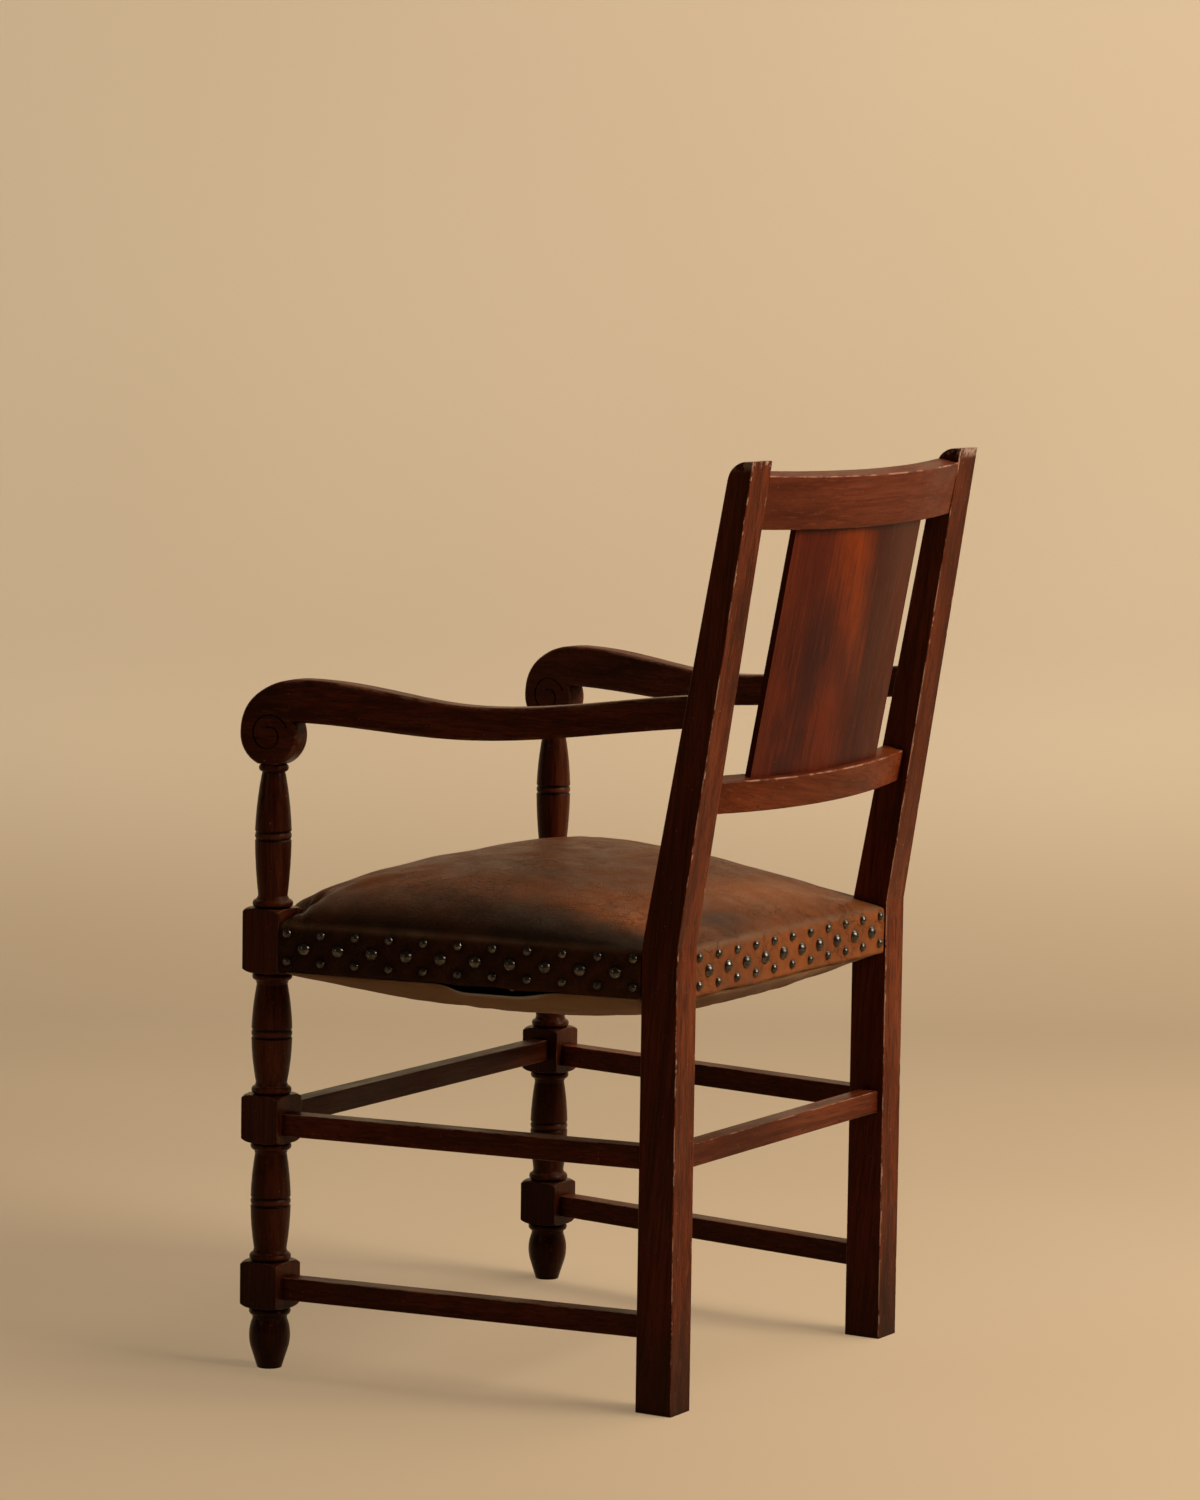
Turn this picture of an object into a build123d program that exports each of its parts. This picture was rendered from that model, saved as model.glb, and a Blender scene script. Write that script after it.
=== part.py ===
from build123d import *
import os
from math import atan2, cos, hypot, pi, radians, sin, sqrt, tan

# Open armchair with turned front legs, a splat back and a nailed leather seat over springs.
# Millimetres, +Z up, the front faces -Y and the sitter's left is +X.
# The origin is on the floor, at the middle of the chair's outer box.

# Overall sizes
overall_depth = 555.5
overall_height = 900.0
front_axis_spacing = 518.0
rear_outer_width = 454.0

# Rear legs
leg_width = 37.0
leg_depth = 38.5
leg_lean = 72.0
leg_bend_z = 445.0
leg_top_round = 21.0
leg_top_depth = 24.0
edge_round = 1.2

# Front legs: square blocks between turned lengths
block_width = 42.0
low_block = (60.0, 106.0)
mid_block = (223.0, 270.0)
seat_block = (389.5, 452.5)
post_shoulder_z = 592.5
block_shoulder = 4.0
foot_radius = 12.0
foot_cone = (18.7, 21.0)
foot_belly = (20.1, 33.0)
foot_neck = (16.9, 48.5)
ring_height = 8.0
ring_bulge = 3.4
neck_gap = 3.5
bead_height = 7.0
groove_depth = 1.2
groove_height = 1.4
post_tenon_radius = 9.0
post_tenon_length = 22.0
# Each turned length, from below: lower ring, lower neck, belly, upper neck, upper ring radius
low_turning = (20.3, 15.9, 19.6, 15.5, 20.0)
mid_turning = (19.6, 15.2, 19.9, 15.0, 19.6)
arm_turning = (19.7, 14.3, 17.8, 11.9, 14.5)
foot_ring_radius = 20.4

# Arms, with heights above the floor and stations measured back from the front post
arm_thickness = 25.0
arm_round = 4.0
arm_peak = (38.0, 676.0)
arm_dip = (222.0, 659.0)
arm_rear_top_z = 681.0
arm_notch = (29.0, 634.5)
arm_under_dip = (200.0, 626.6)
arm_rear_under_z = 650.5
arm_rear_slope = 0.07
scroll_nose = 31.8
scroll_radius = 31.0
scroll_centre_z = 621.0
scroll_crown = (-9.0, 663.5)
volute_width = 1.8
volute_depth = 1.6
volute_start_radius = 21.5
volute_end_radius = 7.0
volute_turns = 1.25

# Back rails and splat, measured along the rake: the lower rail up from the bend in the legs, the crest
# rail down from the leg tops
rail_inset = 1.5
rail_thickness = 22.5
rail_bow = 20.0
lower_rail_start = 129.0
lower_rail_height = 31.4
crest_drop = 61.1
crest_height = 51.4
rail_chamfer = 1.2
splat_width = 252.0
splat_thickness = 6.0
splat_tongue = 8.0

# Stretchers
stretcher_thickness = 20.0
stretcher_height = 22.0
low_stretcher_z = 70.0
side_stretcher_z = 231.0
front_stretcher_z = 237.0
rear_stretcher_inset = 6.0

# Mortise and tenon joints
tenon_length = 14.0
tenon_thickness = 8.0
tenon_shoulder = 4.0
mortise_room = 1.0

# Seat frame
seat_rail_bottom = 395.5
seat_rail_height = 38.0
seat_rail_thickness = 24.0
corner_leg = 45.0
corner_block_height = 26.0
corner_block_lift = 4.0
screw_radius = 2.0
screw_head_radius = 4.2
screw_head_height = 2.4
screw_seat = 12.0
screw_bite = 14.0

# Seat covering, with the crown's shape as shares of its rise and of the half width
leather_thickness = 2.0
soft_gap = 0.3
leather_bottom = 394.0
band_height = 44.0
rear_band_inset = 2.0
crown_rise = 57.0
crown_at = -0.3
least_rise = 0.6
crown_shoulder = (0.93, 0.32)
crown_flat = (0.7, 0.8)
crown_stations = (-1.0, -0.94, -0.8, -0.5, 0.0, 0.5, 0.8, 0.94, 1.0)
stuffing_inset = 6.3
leg_clearance = 0.4

# Nails: heads, shanks and rows above the lower edge of the leather
large_head_radius = 6.5
large_head_height = 4.2
small_head_radius = 4.6
small_head_height = 3.0
nail_shank_radius = 0.9
nail_shank_length = 12.0
nail_fit = 0.15
small_row_low = 10.0
large_row = 23.0
small_row_high = 37.0
nail_pitch = 37.5
nail_end_space = 9.0

# Springs, webbing and cloths
hessian_thickness = 1.5
hessian_rise = 34.0
hessian_inset = 14.3
hessian_rim = 4.0
webbing_width = 50.0
webbing_thickness = 1.6
webbing_spacing = 105.0
strap_end = 3.5
spring_wire = 3.2
spring_end_radius = 28.0
spring_waist_radius = 20.0
spring_turns = 4
spring_head_room = 1.0
canvas_thickness = 1.2
canvas_sag = 52.0
canvas_inset = 6.0
canvas_margin = 14.0
canvas_least_dip = 0.6
canvas_stations = (-1.0, -0.75, -0.45, 0.0, 0.45, 0.75, 1.0)
tack_head_radius = 3.5
tack_head_height = 1.2
tack_shank_radius = 0.8
tack_shank_length = 9.0
tack_places = (0.5, 1.45)

# Places worked out from the sizes above
leg_sweep = leg_depth + leg_lean - leg_top_depth
rake = atan2(leg_sweep, overall_height - leg_bend_z)
crest_start = (overall_height - leg_bend_z) / cos(rake) - crest_drop
crest_back = rail_inset + rail_thickness + rail_bow
crest_reach = (crest_start + crest_height - rail_chamfer) * sin(rake) + crest_back * cos(rake)
leg_front_y = overall_depth / 2 - crest_reach
leg_rear_y = leg_front_y + leg_depth
back_y = leg_rear_y + leg_lean
leg_outer_x = rear_outer_width / 2
leg_inner_x = leg_outer_x - leg_width
leg_x = leg_outer_x - leg_width / 2
post_x = front_axis_spacing / 2
post_y = -overall_depth / 2 + scroll_nose
block_half = block_width / 2
block_inner_x = post_x - block_half
block_outer_x = post_x + block_half
block_rear_y = post_y + block_half
block_front_y = post_y - block_half
frame_run = leg_front_y - block_rear_y

seat_rail_top = seat_rail_bottom + seat_rail_height
seat_rail_mid_z = seat_rail_bottom + seat_rail_height / 2
band_top = leather_bottom + band_height
cover = leather_thickness + soft_gap
side_slope = (block_outer_x - leg_outer_x) / frame_run
side_stretch = sqrt(1 + side_slope**2)
cover_x = cover * side_stretch
seat_rail_x = seat_rail_thickness * side_stretch
front_rail_y = block_front_y + cover
leather_rear_y = leg_rear_y - rear_band_inset
rear_rail_y = leather_rear_y - cover - seat_rail_thickness


def side_x(y):
    """Half width of the leather's outer face at a station y."""
    return block_outer_x - side_slope * (y - block_rear_y)


def save(builder, name):
    """Label a finished piece and write its file."""
    builder.part.label = name
    export_step(builder.part, f"parts/{name}.step")


def save_pair(builder, name):
    """Write the sitter's left piece and its mirror image on the right."""
    save(builder, f"{name}_left")
    with BuildPart() as right:
        mirror(builder.part, about=Plane.YZ)
    save(right, f"{name}_right")


def tenons(*joints):
    """Add a tenon on each joint, a plane facing into the mortise with the tenon's two sizes."""
    for plane, width, height in joints:
        with BuildSketch(plane) as cheek:
            Rectangle(width, height)
        extrude(cheek.sketch, amount=tenon_length)


def mortises(*joints):
    """Cut the mortise of each joint, a little deeper than its tenon."""
    for plane, width, height in joints:
        with BuildSketch(plane) as mouth:
            Rectangle(width, height)
        extrude(mouth.sketch, amount=tenon_length + mortise_room, mode=Mode.SUBTRACT)


def joint_out(x, y, z, height):
    """Joint in a face looking along +X."""
    return Plane((x, y, z), x_dir=(0, 1, 0), z_dir=(1, 0, 0)), tenon_thickness, height - 2 * tenon_shoulder


def joint_front(x, y, z, height):
    """Joint running forward into a front leg."""
    return Plane((x, y, z), x_dir=(1, 0, 0), z_dir=(0, -1, 0)), tenon_thickness, height - 2 * tenon_shoulder


def joint_back(x, y, z, height):
    """Joint running back into a rear leg."""
    return Plane((x, y, z), x_dir=(1, 0, 0), z_dir=(0, 1, 0)), tenon_thickness, height - 2 * tenon_shoulder


# Back plane: local X across, local Y through the thickness, local Z up the rake
back_plane = Plane((0, leg_front_y, leg_bend_z), x_dir=(1, 0, 0), z_dir=(0, sin(rake), cos(rake)))
leg_face = Plane((0, leg_front_y, leg_bend_z), x_dir=(1, 0, 0), z_dir=(0, cos(rake), -sin(rake)))


def joint_rail(start, height):
    """Joint of a back rail that starts this far up the rake."""
    middle = back_plane.from_local_coords((leg_inner_x, rail_inset + rail_thickness / 2, start + height / 2))
    through = (0, cos(rake), -sin(rake))
    return Plane(middle, x_dir=through, z_dir=(1, 0, 0)), tenon_thickness, height - 2 * tenon_shoulder


# Joints on the sitter's left
stretcher_mid = stretcher_height / 2
side_rail_front_x = side_x(block_rear_y) - cover_x - seat_rail_x / 2
side_rail_rear_x = side_x(leg_front_y) - cover_x - seat_rail_x / 2
rear_stretcher_y = leg_rear_y - rear_stretcher_inset - stretcher_thickness / 2
front_rail_joint = joint_out(
    block_inner_x, front_rail_y + seat_rail_thickness / 2, seat_rail_mid_z, seat_rail_height
)
rear_rail_joint = joint_out(
    leg_inner_x, rear_rail_y + seat_rail_thickness / 2, seat_rail_mid_z, seat_rail_height
)
side_rail_front_joint = joint_front(side_rail_front_x, block_rear_y, seat_rail_mid_z, seat_rail_height)
side_rail_rear_joint = joint_back(side_rail_rear_x, leg_front_y, seat_rail_mid_z, seat_rail_height)
front_stretcher_joint = joint_out(
    block_inner_x, post_y, front_stretcher_z + stretcher_mid, stretcher_height
)
rear_stretcher_joint = joint_out(
    leg_inner_x, rear_stretcher_y, side_stretcher_z + stretcher_mid, stretcher_height
)


def side_stretcher_joints(z):
    """Front and rear joints of a side stretcher with its underside at z."""
    middle = z + stretcher_mid
    front = joint_front(post_x, block_rear_y, middle, stretcher_height)
    rear = joint_back(leg_x, leg_front_y, middle, stretcher_height)
    return front, rear


upper_front_joint, upper_rear_joint = side_stretcher_joints(side_stretcher_z)
lower_front_joint, lower_rear_joint = side_stretcher_joints(low_stretcher_z)
lower_rail_joint = joint_rail(lower_rail_start, lower_rail_height)
crest_joint = joint_rail(crest_start, crest_height)

# Arm plane: local X back from the post, local Y up, local Z outward
arm_end_z = (arm_rear_top_z + arm_rear_under_z) / 2
arm_end_y = leg_front_y + (arm_end_z - leg_bend_z) * tan(rake)
arm_run = hypot(post_x - leg_x, arm_end_y - post_y)
arm_back = ((leg_x - post_x) / arm_run, (arm_end_y - post_y) / arm_run, 0)
arm_plane = Plane((post_x, post_y, 0), x_dir=arm_back, z_dir=(arm_back[1], -arm_back[0], 0))
arm_rear_depth = arm_rear_top_z - arm_rear_under_z
arm_joint = (
    Plane((leg_x, arm_end_y, arm_end_z), x_dir=(1, 0, 0), z_dir=(0, cos(rake), -sin(rake))),
    tenon_thickness,
    arm_rear_depth - 2 * tenon_shoulder,
)

os.makedirs("parts", exist_ok=True)

# Rear legs, sawn to a bend at the seat and tapering to a rounded top
with BuildPart() as rear_leg:
    with BuildSketch(Plane.YZ.offset(leg_inner_x)):
        top_front_y = leg_front_y + leg_sweep
        with BuildLine():
            Polyline(
                (leg_front_y, 0),
                (leg_rear_y, 0),
                (leg_rear_y, leg_bend_z),
                (back_y, overall_height),
                (top_front_y, overall_height),
                (leg_front_y, leg_bend_z),
                close=True,
            )
        leg_outline = make_face()
        top_corner = leg_outline.vertices().group_by(Axis.Y)[-1].sort_by(Axis.X)[0]
        fillet(top_corner, leg_top_round)
    extrude(amount=leg_width)
    fillet(rear_leg.edges().filter_by(Plane.YZ), edge_round)
    mortises(
        rear_rail_joint,
        side_rail_rear_joint,
        rear_stretcher_joint,
        upper_rear_joint,
        lower_rear_joint,
        lower_rail_joint,
        crest_joint,
        arm_joint,
    )
save_pair(rear_leg, "rear_leg")


def draw_block(block, ring_below, ring_above):
    """Profile of a square block with shoulders rounded on the lathe."""
    bottom, top = block
    corner = block_half * sqrt(2) + soft_gap
    bulge = (block_half + corner) / 2 + 1.0
    Line((ring_below - ring_bulge, bottom), (block_half, bottom))
    ThreePointArc(
        (block_half, bottom), (bulge, bottom + block_shoulder * 0.3), (corner, bottom + block_shoulder)
    )
    Line((corner, bottom + block_shoulder), (corner, top - block_shoulder))
    ThreePointArc((corner, top - block_shoulder), (bulge, top - block_shoulder * 0.3), (block_half, top))
    Line((block_half, top), (ring_above - ring_bulge, top))


def draw_ring(radius, bottom):
    """Profile of one half-round ring."""
    inner = radius - ring_bulge
    ThreePointArc((inner, bottom), (radius, bottom + ring_height / 2), (inner, bottom + ring_height))


def draw_turning(bottom, top, turning):
    """Profile of one turned length: ring, neck, belly with a bead, neck and ring."""
    ring_low, neck_low, belly, neck_high, ring_high = turning
    bead_z = (bottom + top) / 2
    bead_low = bead_z - bead_height / 2
    bead_high = bead_z + bead_height / 2
    rise_start = bottom + ring_height + neck_gap
    rise_end = bead_low - groove_height
    fall_start = bead_high + groove_height
    fall_end = top - ring_height - neck_gap
    draw_ring(ring_low, bottom)
    Line((ring_low - ring_bulge, bottom + ring_height), (neck_low, rise_start))
    rise_middle = (neck_low + (belly - neck_low) * 0.7, (rise_start + rise_end) / 2)
    ThreePointArc((neck_low, rise_start), rise_middle, (belly, rise_end))
    Line((belly, rise_end), (belly - groove_depth, bead_low))
    ThreePointArc((belly - groove_depth, bead_low), (belly, bead_z), (belly - groove_depth, bead_high))
    Line((belly - groove_depth, bead_high), (belly, fall_start))
    fall_middle = (neck_high + (belly - neck_high) * 0.67, (fall_start + fall_end) / 2)
    ThreePointArc((belly, fall_start), fall_middle, (neck_high, fall_end))
    Line((neck_high, fall_end), (ring_high - ring_bulge, top - ring_height))
    draw_ring(ring_high, top - ring_height)


# Front legs, turned in one length from the foot to the arm
with BuildPart() as front_leg:
    tenon_top = post_shoulder_z + post_tenon_length
    foot_ring_z = low_block[0] - ring_height
    with BuildSketch(Plane((post_x, post_y, 0), x_dir=(1, 0, 0), z_dir=(0, -1, 0))):
        with BuildLine():
            Polyline((0, tenon_top), (0, 0), (foot_radius, 0), foot_cone)
            ThreePointArc(foot_cone, foot_belly, foot_neck)
            Line(foot_neck, (foot_ring_radius - ring_bulge, foot_ring_z))
            draw_ring(foot_ring_radius, foot_ring_z)
            draw_block(low_block, foot_ring_radius, low_turning[0])
            draw_turning(low_block[1], mid_block[0], low_turning)
            draw_block(mid_block, low_turning[-1], mid_turning[0])
            draw_turning(mid_block[1], seat_block[0], mid_turning)
            draw_block(seat_block, mid_turning[-1], arm_turning[0])
            draw_turning(seat_block[1], post_shoulder_z, arm_turning)
            Polyline(
                (arm_turning[-1] - ring_bulge, post_shoulder_z),
                (post_tenon_radius, post_shoulder_z),
                (post_tenon_radius, tenon_top),
                (0, tenon_top),
            )
        make_face()
    revolve(axis=Axis((post_x, post_y, 0), (0, 0, 1)))
    with BuildSketch(Plane((post_x, post_y, 0))):
        Rectangle(block_width, block_width)
    extrude(amount=tenon_top, mode=Mode.INTERSECT)
    mortises(
        front_rail_joint, side_rail_front_joint, front_stretcher_joint, upper_front_joint, lower_front_joint
    )
save_pair(front_leg, "front_leg")

# Arms, sawn to a wave and ending in a carved scroll over the front leg
with BuildPart() as arm:
    over_run = arm_run + 2 * tenon_length
    over_rise = arm_rear_slope * 2 * tenon_length
    nose = (-scroll_nose, scroll_centre_z)
    scroll_bottom = (0, scroll_centre_z - scroll_radius)
    notch_angle = atan2(arm_notch[1] - scroll_centre_z, arm_notch[0])
    notch = (scroll_radius * cos(notch_angle), scroll_centre_z + scroll_radius * sin(notch_angle))
    with BuildSketch(arm_plane):
        with BuildLine():
            Spline(
                notch,
                arm_under_dip,
                (over_run, arm_rear_under_z + over_rise),
                tangents=[(1, 0), (1, 0), (1, arm_rear_slope)],
            )
            Line((over_run, arm_rear_under_z + over_rise), (over_run, arm_rear_top_z + over_rise))
            Spline(
                (over_run, arm_rear_top_z + over_rise),
                arm_dip,
                arm_peak,
                tangents=[(-1, -arm_rear_slope), (-1, 0), (-1, 0)],
            )
            Spline(arm_peak, scroll_crown, nose, tangents=[(-1, 0), (0, -1)])
            TangentArc(nose, scroll_bottom, tangent=(0, -1))
            ThreePointArc(
                scroll_bottom,
                (scroll_radius * cos(-pi / 4), scroll_centre_z + scroll_radius * sin(-pi / 4)),
                notch,
            )
        make_face()
    extrude(amount=arm_thickness / 2, both=True)
    rounded = arm.edges().filter_by(Axis(arm_plane.origin, arm_plane.z_dir), reverse=True)
    fillet(rounded.filter_by(lambda edge: abs(edge.length - arm_rear_depth) > edge_round), arm_round)
    split(bisect_by=leg_face, keep=Keep.BOTTOM)
    split(bisect_by=Plane.XY.offset(post_shoulder_z), keep=Keep.TOP)
    tenons(arm_joint)
    with BuildSketch(Plane.XY.offset(post_shoulder_z)):
        with Locations((post_x, post_y)):
            Circle(post_tenon_radius + nail_fit)
    extrude(amount=post_tenon_length + mortise_room, mode=Mode.SUBTRACT)
    volute = []
    volute_points = 16
    for step in range(volute_points + 1):
        turn = step / volute_points
        radius = volute_start_radius + (volute_end_radius - volute_start_radius) * turn
        angle = radians(20) + turn * volute_turns * 2 * pi
        volute.append((radius * cos(angle), scroll_centre_z + radius * sin(angle)))
    for face in (arm_thickness / 2, -arm_thickness / 2):
        with BuildSketch(arm_plane.offset(face)):
            with BuildLine():
                Spline(*volute)
            trace(line_width=volute_width)
        extrude(amount=volute_depth, both=True, mode=Mode.SUBTRACT)
save_pair(arm, "arm")

# Back rails, bowed backward between the rear legs
bow_radius = (leg_inner_x**2 + rail_bow**2) / (2 * rail_bow)


def bow_at(x):
    """How far the bowed centre line stands behind its ends at a station x."""
    return sqrt(bow_radius**2 - x**2) - (bow_radius - rail_bow)


def bowed_band(half_width, front, thickness):
    """Sketch of a band that follows the bow, in the back plane."""
    end = bow_at(half_width)
    rear = front + thickness
    with BuildLine() as band:
        ThreePointArc((-half_width, front + end), (0, front + rail_bow), (half_width, front + end))
        Line((half_width, front + end), (half_width, rear + end))
        ThreePointArc((half_width, rear + end), (0, rear + rail_bow), (-half_width, rear + end))
        Line((-half_width, rear + end), (-half_width, front + end))
    make_face(band.line)


splat_front = rail_inset + (rail_thickness - splat_thickness) / 2
groove_room = splat_tongue + mortise_room
back_rails = (
    ("lower_back_rail", lower_rail_start, lower_rail_height, lower_rail_joint),
    ("crest_rail", crest_start, crest_height, crest_joint),
)
for rail_name, start, height, joint in back_rails:
    with BuildPart() as back_rail:
        with BuildSketch(back_plane.offset(start)):
            bowed_band(leg_inner_x, rail_inset, rail_thickness)
        extrude(amount=height)
        chamfer(back_rail.edges().filter_by(GeomType.CIRCLE), rail_chamfer)
        tenons(joint)
        left_plane, joint_width, joint_height = joint
        right_origin = (-left_plane.origin.X, left_plane.origin.Y, left_plane.origin.Z)
        tenons((Plane(right_origin, x_dir=left_plane.x_dir, z_dir=(-1, 0, 0)), joint_width, joint_height))
        groove_start = start + height - groove_room if rail_name == "lower_back_rail" else start
        with BuildSketch(back_plane.offset(groove_start)):
            bowed_band(splat_width / 2, splat_front, splat_thickness)
        extrude(amount=groove_room, mode=Mode.SUBTRACT)
    save(back_rail, rail_name)

# Splat, a bent panel let into grooves in both rails
with BuildPart() as splat:
    splat_start = lower_rail_start + lower_rail_height - splat_tongue
    with BuildSketch(back_plane.offset(splat_start)):
        bowed_band(splat_width / 2, splat_front, splat_thickness)
    extrude(amount=crest_start + splat_tongue - splat_start)
save(splat, "back_splat")


def straight_bar(half_length, front_y, thickness, bottom, height, joint):
    """Bar across the chair, tenoned at both ends."""
    with BuildSketch(Plane.XY.offset(bottom)) as half_bar:
        with Locations((half_length / 2, front_y + thickness / 2)):
            Rectangle(half_length, thickness)
    extrude(half_bar.sketch, amount=height)
    tenons(joint)
    mirror(about=Plane.YZ)


# Stretchers
with BuildPart() as front_stretcher:
    straight_bar(
        block_inner_x,
        post_y - stretcher_thickness / 2,
        stretcher_thickness,
        front_stretcher_z,
        stretcher_height,
        front_stretcher_joint,
    )
    fillet(front_stretcher.edges().filter_by(Axis.X).group_by(SortBy.LENGTH)[-1], edge_round)
save(front_stretcher, "front_stretcher")

with BuildPart() as rear_stretcher:
    straight_bar(
        leg_inner_x,
        rear_stretcher_y - stretcher_thickness / 2,
        stretcher_thickness,
        side_stretcher_z,
        stretcher_height,
        rear_stretcher_joint,
    )
    fillet(rear_stretcher.edges().filter_by(Axis.X).group_by(SortBy.LENGTH)[-1], edge_round)
save(rear_stretcher, "rear_stretcher")

side_stretchers = (
    ("upper_side_stretcher", side_stretcher_z, (upper_front_joint, upper_rear_joint)),
    ("lower_side_stretcher", low_stretcher_z, (lower_front_joint, lower_rear_joint)),
)
stretcher_slope = (post_x - leg_x) / frame_run
stretcher_half_x = stretcher_thickness / 2 * sqrt(1 + stretcher_slope**2)
for stretcher_name, bottom, joints in side_stretchers:
    with BuildPart() as side_stretcher:
        with BuildSketch(Plane.XY.offset(bottom)):
            with BuildLine():
                Polyline(
                    (post_x - stretcher_half_x, block_rear_y),
                    (post_x + stretcher_half_x, block_rear_y),
                    (leg_x + stretcher_half_x, leg_front_y),
                    (leg_x - stretcher_half_x, leg_front_y),
                    close=True,
                )
            make_face()
        extrude(amount=stretcher_height)
        fillet(side_stretcher.edges().group_by(SortBy.LENGTH)[-1], edge_round)
        tenons(*joints)
    save_pair(side_stretcher, stretcher_name)

# Nail places on the left side band and on the front and rear bands
front_band = Plane((0, block_front_y, leather_bottom), x_dir=(1, 0, 0), z_dir=(0, -1, 0))
rear_band = Plane((0, leather_rear_y, leather_bottom), x_dir=(-1, 0, 0), z_dir=(0, 1, 0))
side_run = frame_run * side_stretch
side_middle = (side_x(block_rear_y + frame_run / 2), block_rear_y + frame_run / 2, leather_bottom)
side_along = (-side_slope / side_stretch, 1 / side_stretch, 0)
side_band = Plane(side_middle, x_dir=side_along, z_dir=(side_along[1], -side_along[0], 0))
other_along = (side_slope / side_stretch, 1 / side_stretch, 0)
other_middle = (-side_middle[0], side_middle[1], side_middle[2])
other_band = Plane(other_middle, x_dir=other_along, z_dir=(-other_along[1], other_along[0], 0))
bands = (
    (front_band, 2 * block_inner_x),
    (rear_band, 2 * leg_inner_x),
    (side_band, side_run),
    (other_band, side_run),
)


def row(length, low):
    """Evenly spaced places along a band: the outer rows, or the middle row between them."""
    gaps = round((length - 2 * nail_end_space) / nail_pitch)
    pitch = (length - 2 * nail_end_space) / gaps
    start = -length / 2 + nail_end_space
    if low:
        return [start + pitch * number for number in range(gaps + 1)]
    return [start + pitch * (number + 0.5) for number in range(gaps)]


def band_places(plane, length, large):
    """Places of one size of nail on a band, each facing outward."""
    if large:
        points = [(along, large_row) for along in row(length, False)]
    else:
        points = [(along, up) for along in row(length, True) for up in (small_row_low, small_row_high)]
    signed = plane.x_dir.cross(Vector(0, 0, 1)).dot(plane.z_dir)
    return [plane.location * Location((along, up * signed, 0)) for along, up in points]


large_places = [place for plane, length in bands for place in band_places(plane, length, True)]
small_places = [place for plane, length in bands for place in band_places(plane, length, False)]
nail_places = large_places + small_places


def drill_nails():
    """Cut the shank hole of every nail that reaches the piece."""
    with Locations(*nail_places):
        Cylinder(
            nail_shank_radius + nail_fit,
            2 * (nail_shank_length + mortise_room),
            mode=Mode.SUBTRACT,
        )


def nails(name, places, head_radius, head_height):
    """Domed nails with their shanks driven inward."""
    dome = (head_radius**2 + head_height**2) / (2 * head_height)
    lean = atan2(head_radius, dome - head_height) / 2
    halfway = (dome * sin(lean), head_height - dome * (1 - cos(lean)))
    with BuildPart() as one:
        with BuildSketch(Plane.XZ):
            with BuildLine():
                Polyline(
                    (0, head_height),
                    (0, -nail_shank_length),
                    (nail_shank_radius, -nail_shank_length + 2 * nail_shank_radius),
                    (nail_shank_radius, 0),
                    (head_radius, 0),
                )
                ThreePointArc((head_radius, 0), halfway, (0, head_height))
            make_face()
        revolve(axis=Axis.Z)
    with BuildPart() as group:
        with Locations(*places):
            add(one.part)
    save(group, name)


nails("large_nails", large_places, large_head_radius, large_head_height)
nails("small_nails", small_places, small_head_radius, small_head_height)

# Corner blocks in the seat frame, each notched round its leg and held by two screws
front_rail_inner_y = front_rail_y + seat_rail_thickness


def side_inner_x(y):
    """Inner face of a side seat rail at a station y."""
    return side_x(y) - cover_x - seat_rail_x


def corner_outline(leg_face_x, rail_y, leg_face_y, toward):
    """Plan of one corner block: rail, two leg faces, side rail and the open face."""
    far_y = leg_face_y + toward * corner_leg
    return (
        (leg_face_x, rail_y),
        (leg_face_x, leg_face_y),
        (side_inner_x(leg_face_y), leg_face_y),
        (side_inner_x(far_y), far_y),
        (leg_face_x - corner_leg, rail_y),
    )


corners = (
    (block_inner_x, front_rail_inner_y, block_rear_y, 1),
    (leg_inner_x, rear_rail_y, leg_front_y, -1),
)
corner_bottom = seat_rail_bottom + corner_block_lift
screw_z = corner_bottom + corner_block_height / 2
screw_planes = []
for leg_face_x, rail_y, leg_face_y, toward in corners:
    across_x = leg_face_x - corner_leg / 2
    along_y = leg_face_y + toward * corner_leg / 2
    along_x = side_inner_x(along_y) - screw_seat / side_stretch
    along_seat_y = along_y - screw_seat * side_slope / side_stretch
    for hand in (1, -1):
        facing = (-hand / side_stretch, -side_slope / side_stretch, 0)
        across = (hand * across_x, rail_y + toward * screw_seat, screw_z)
        along = (hand * along_x, along_seat_y, screw_z)
        screw_planes.append(Plane(across, x_dir=(0, 0, 1), z_dir=(0, toward, 0)))
        screw_planes.append(Plane(along, x_dir=(0, 0, 1), z_dir=facing))
screw_places = [plane.location for plane in screw_planes]
screw_length = screw_seat + screw_bite


def drill_screws():
    """Cut the hole of every corner screw that reaches the piece."""
    with Locations(*screw_places):
        Cylinder(screw_radius + nail_fit, 2 * (screw_length + mortise_room), mode=Mode.SUBTRACT)


with BuildPart() as corner_blocks:
    with BuildSketch(Plane.XY.offset(corner_bottom)):
        for corner in corners:
            with BuildLine():
                Polyline(*corner_outline(*corner), close=True)
            make_face()
        mirror(about=Plane.YZ)
    extrude(amount=corner_block_height)
    drill_screws()
    with Locations(*screw_places):
        Cylinder(
            screw_head_radius + leg_clearance,
            corner_leg,
            align=(Align.CENTER, Align.CENTER, Align.MIN),
            mode=Mode.SUBTRACT,
        )
save(corner_blocks, "corner_blocks")

with BuildPart() as corner_screws:
    with Locations(*screw_places):
        Cylinder(screw_head_radius, screw_head_height, align=(Align.CENTER, Align.CENTER, Align.MIN))
        Cylinder(screw_radius, screw_length, align=(Align.CENTER, Align.CENTER, Align.MAX))
save(corner_screws, "corner_screws")

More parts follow.
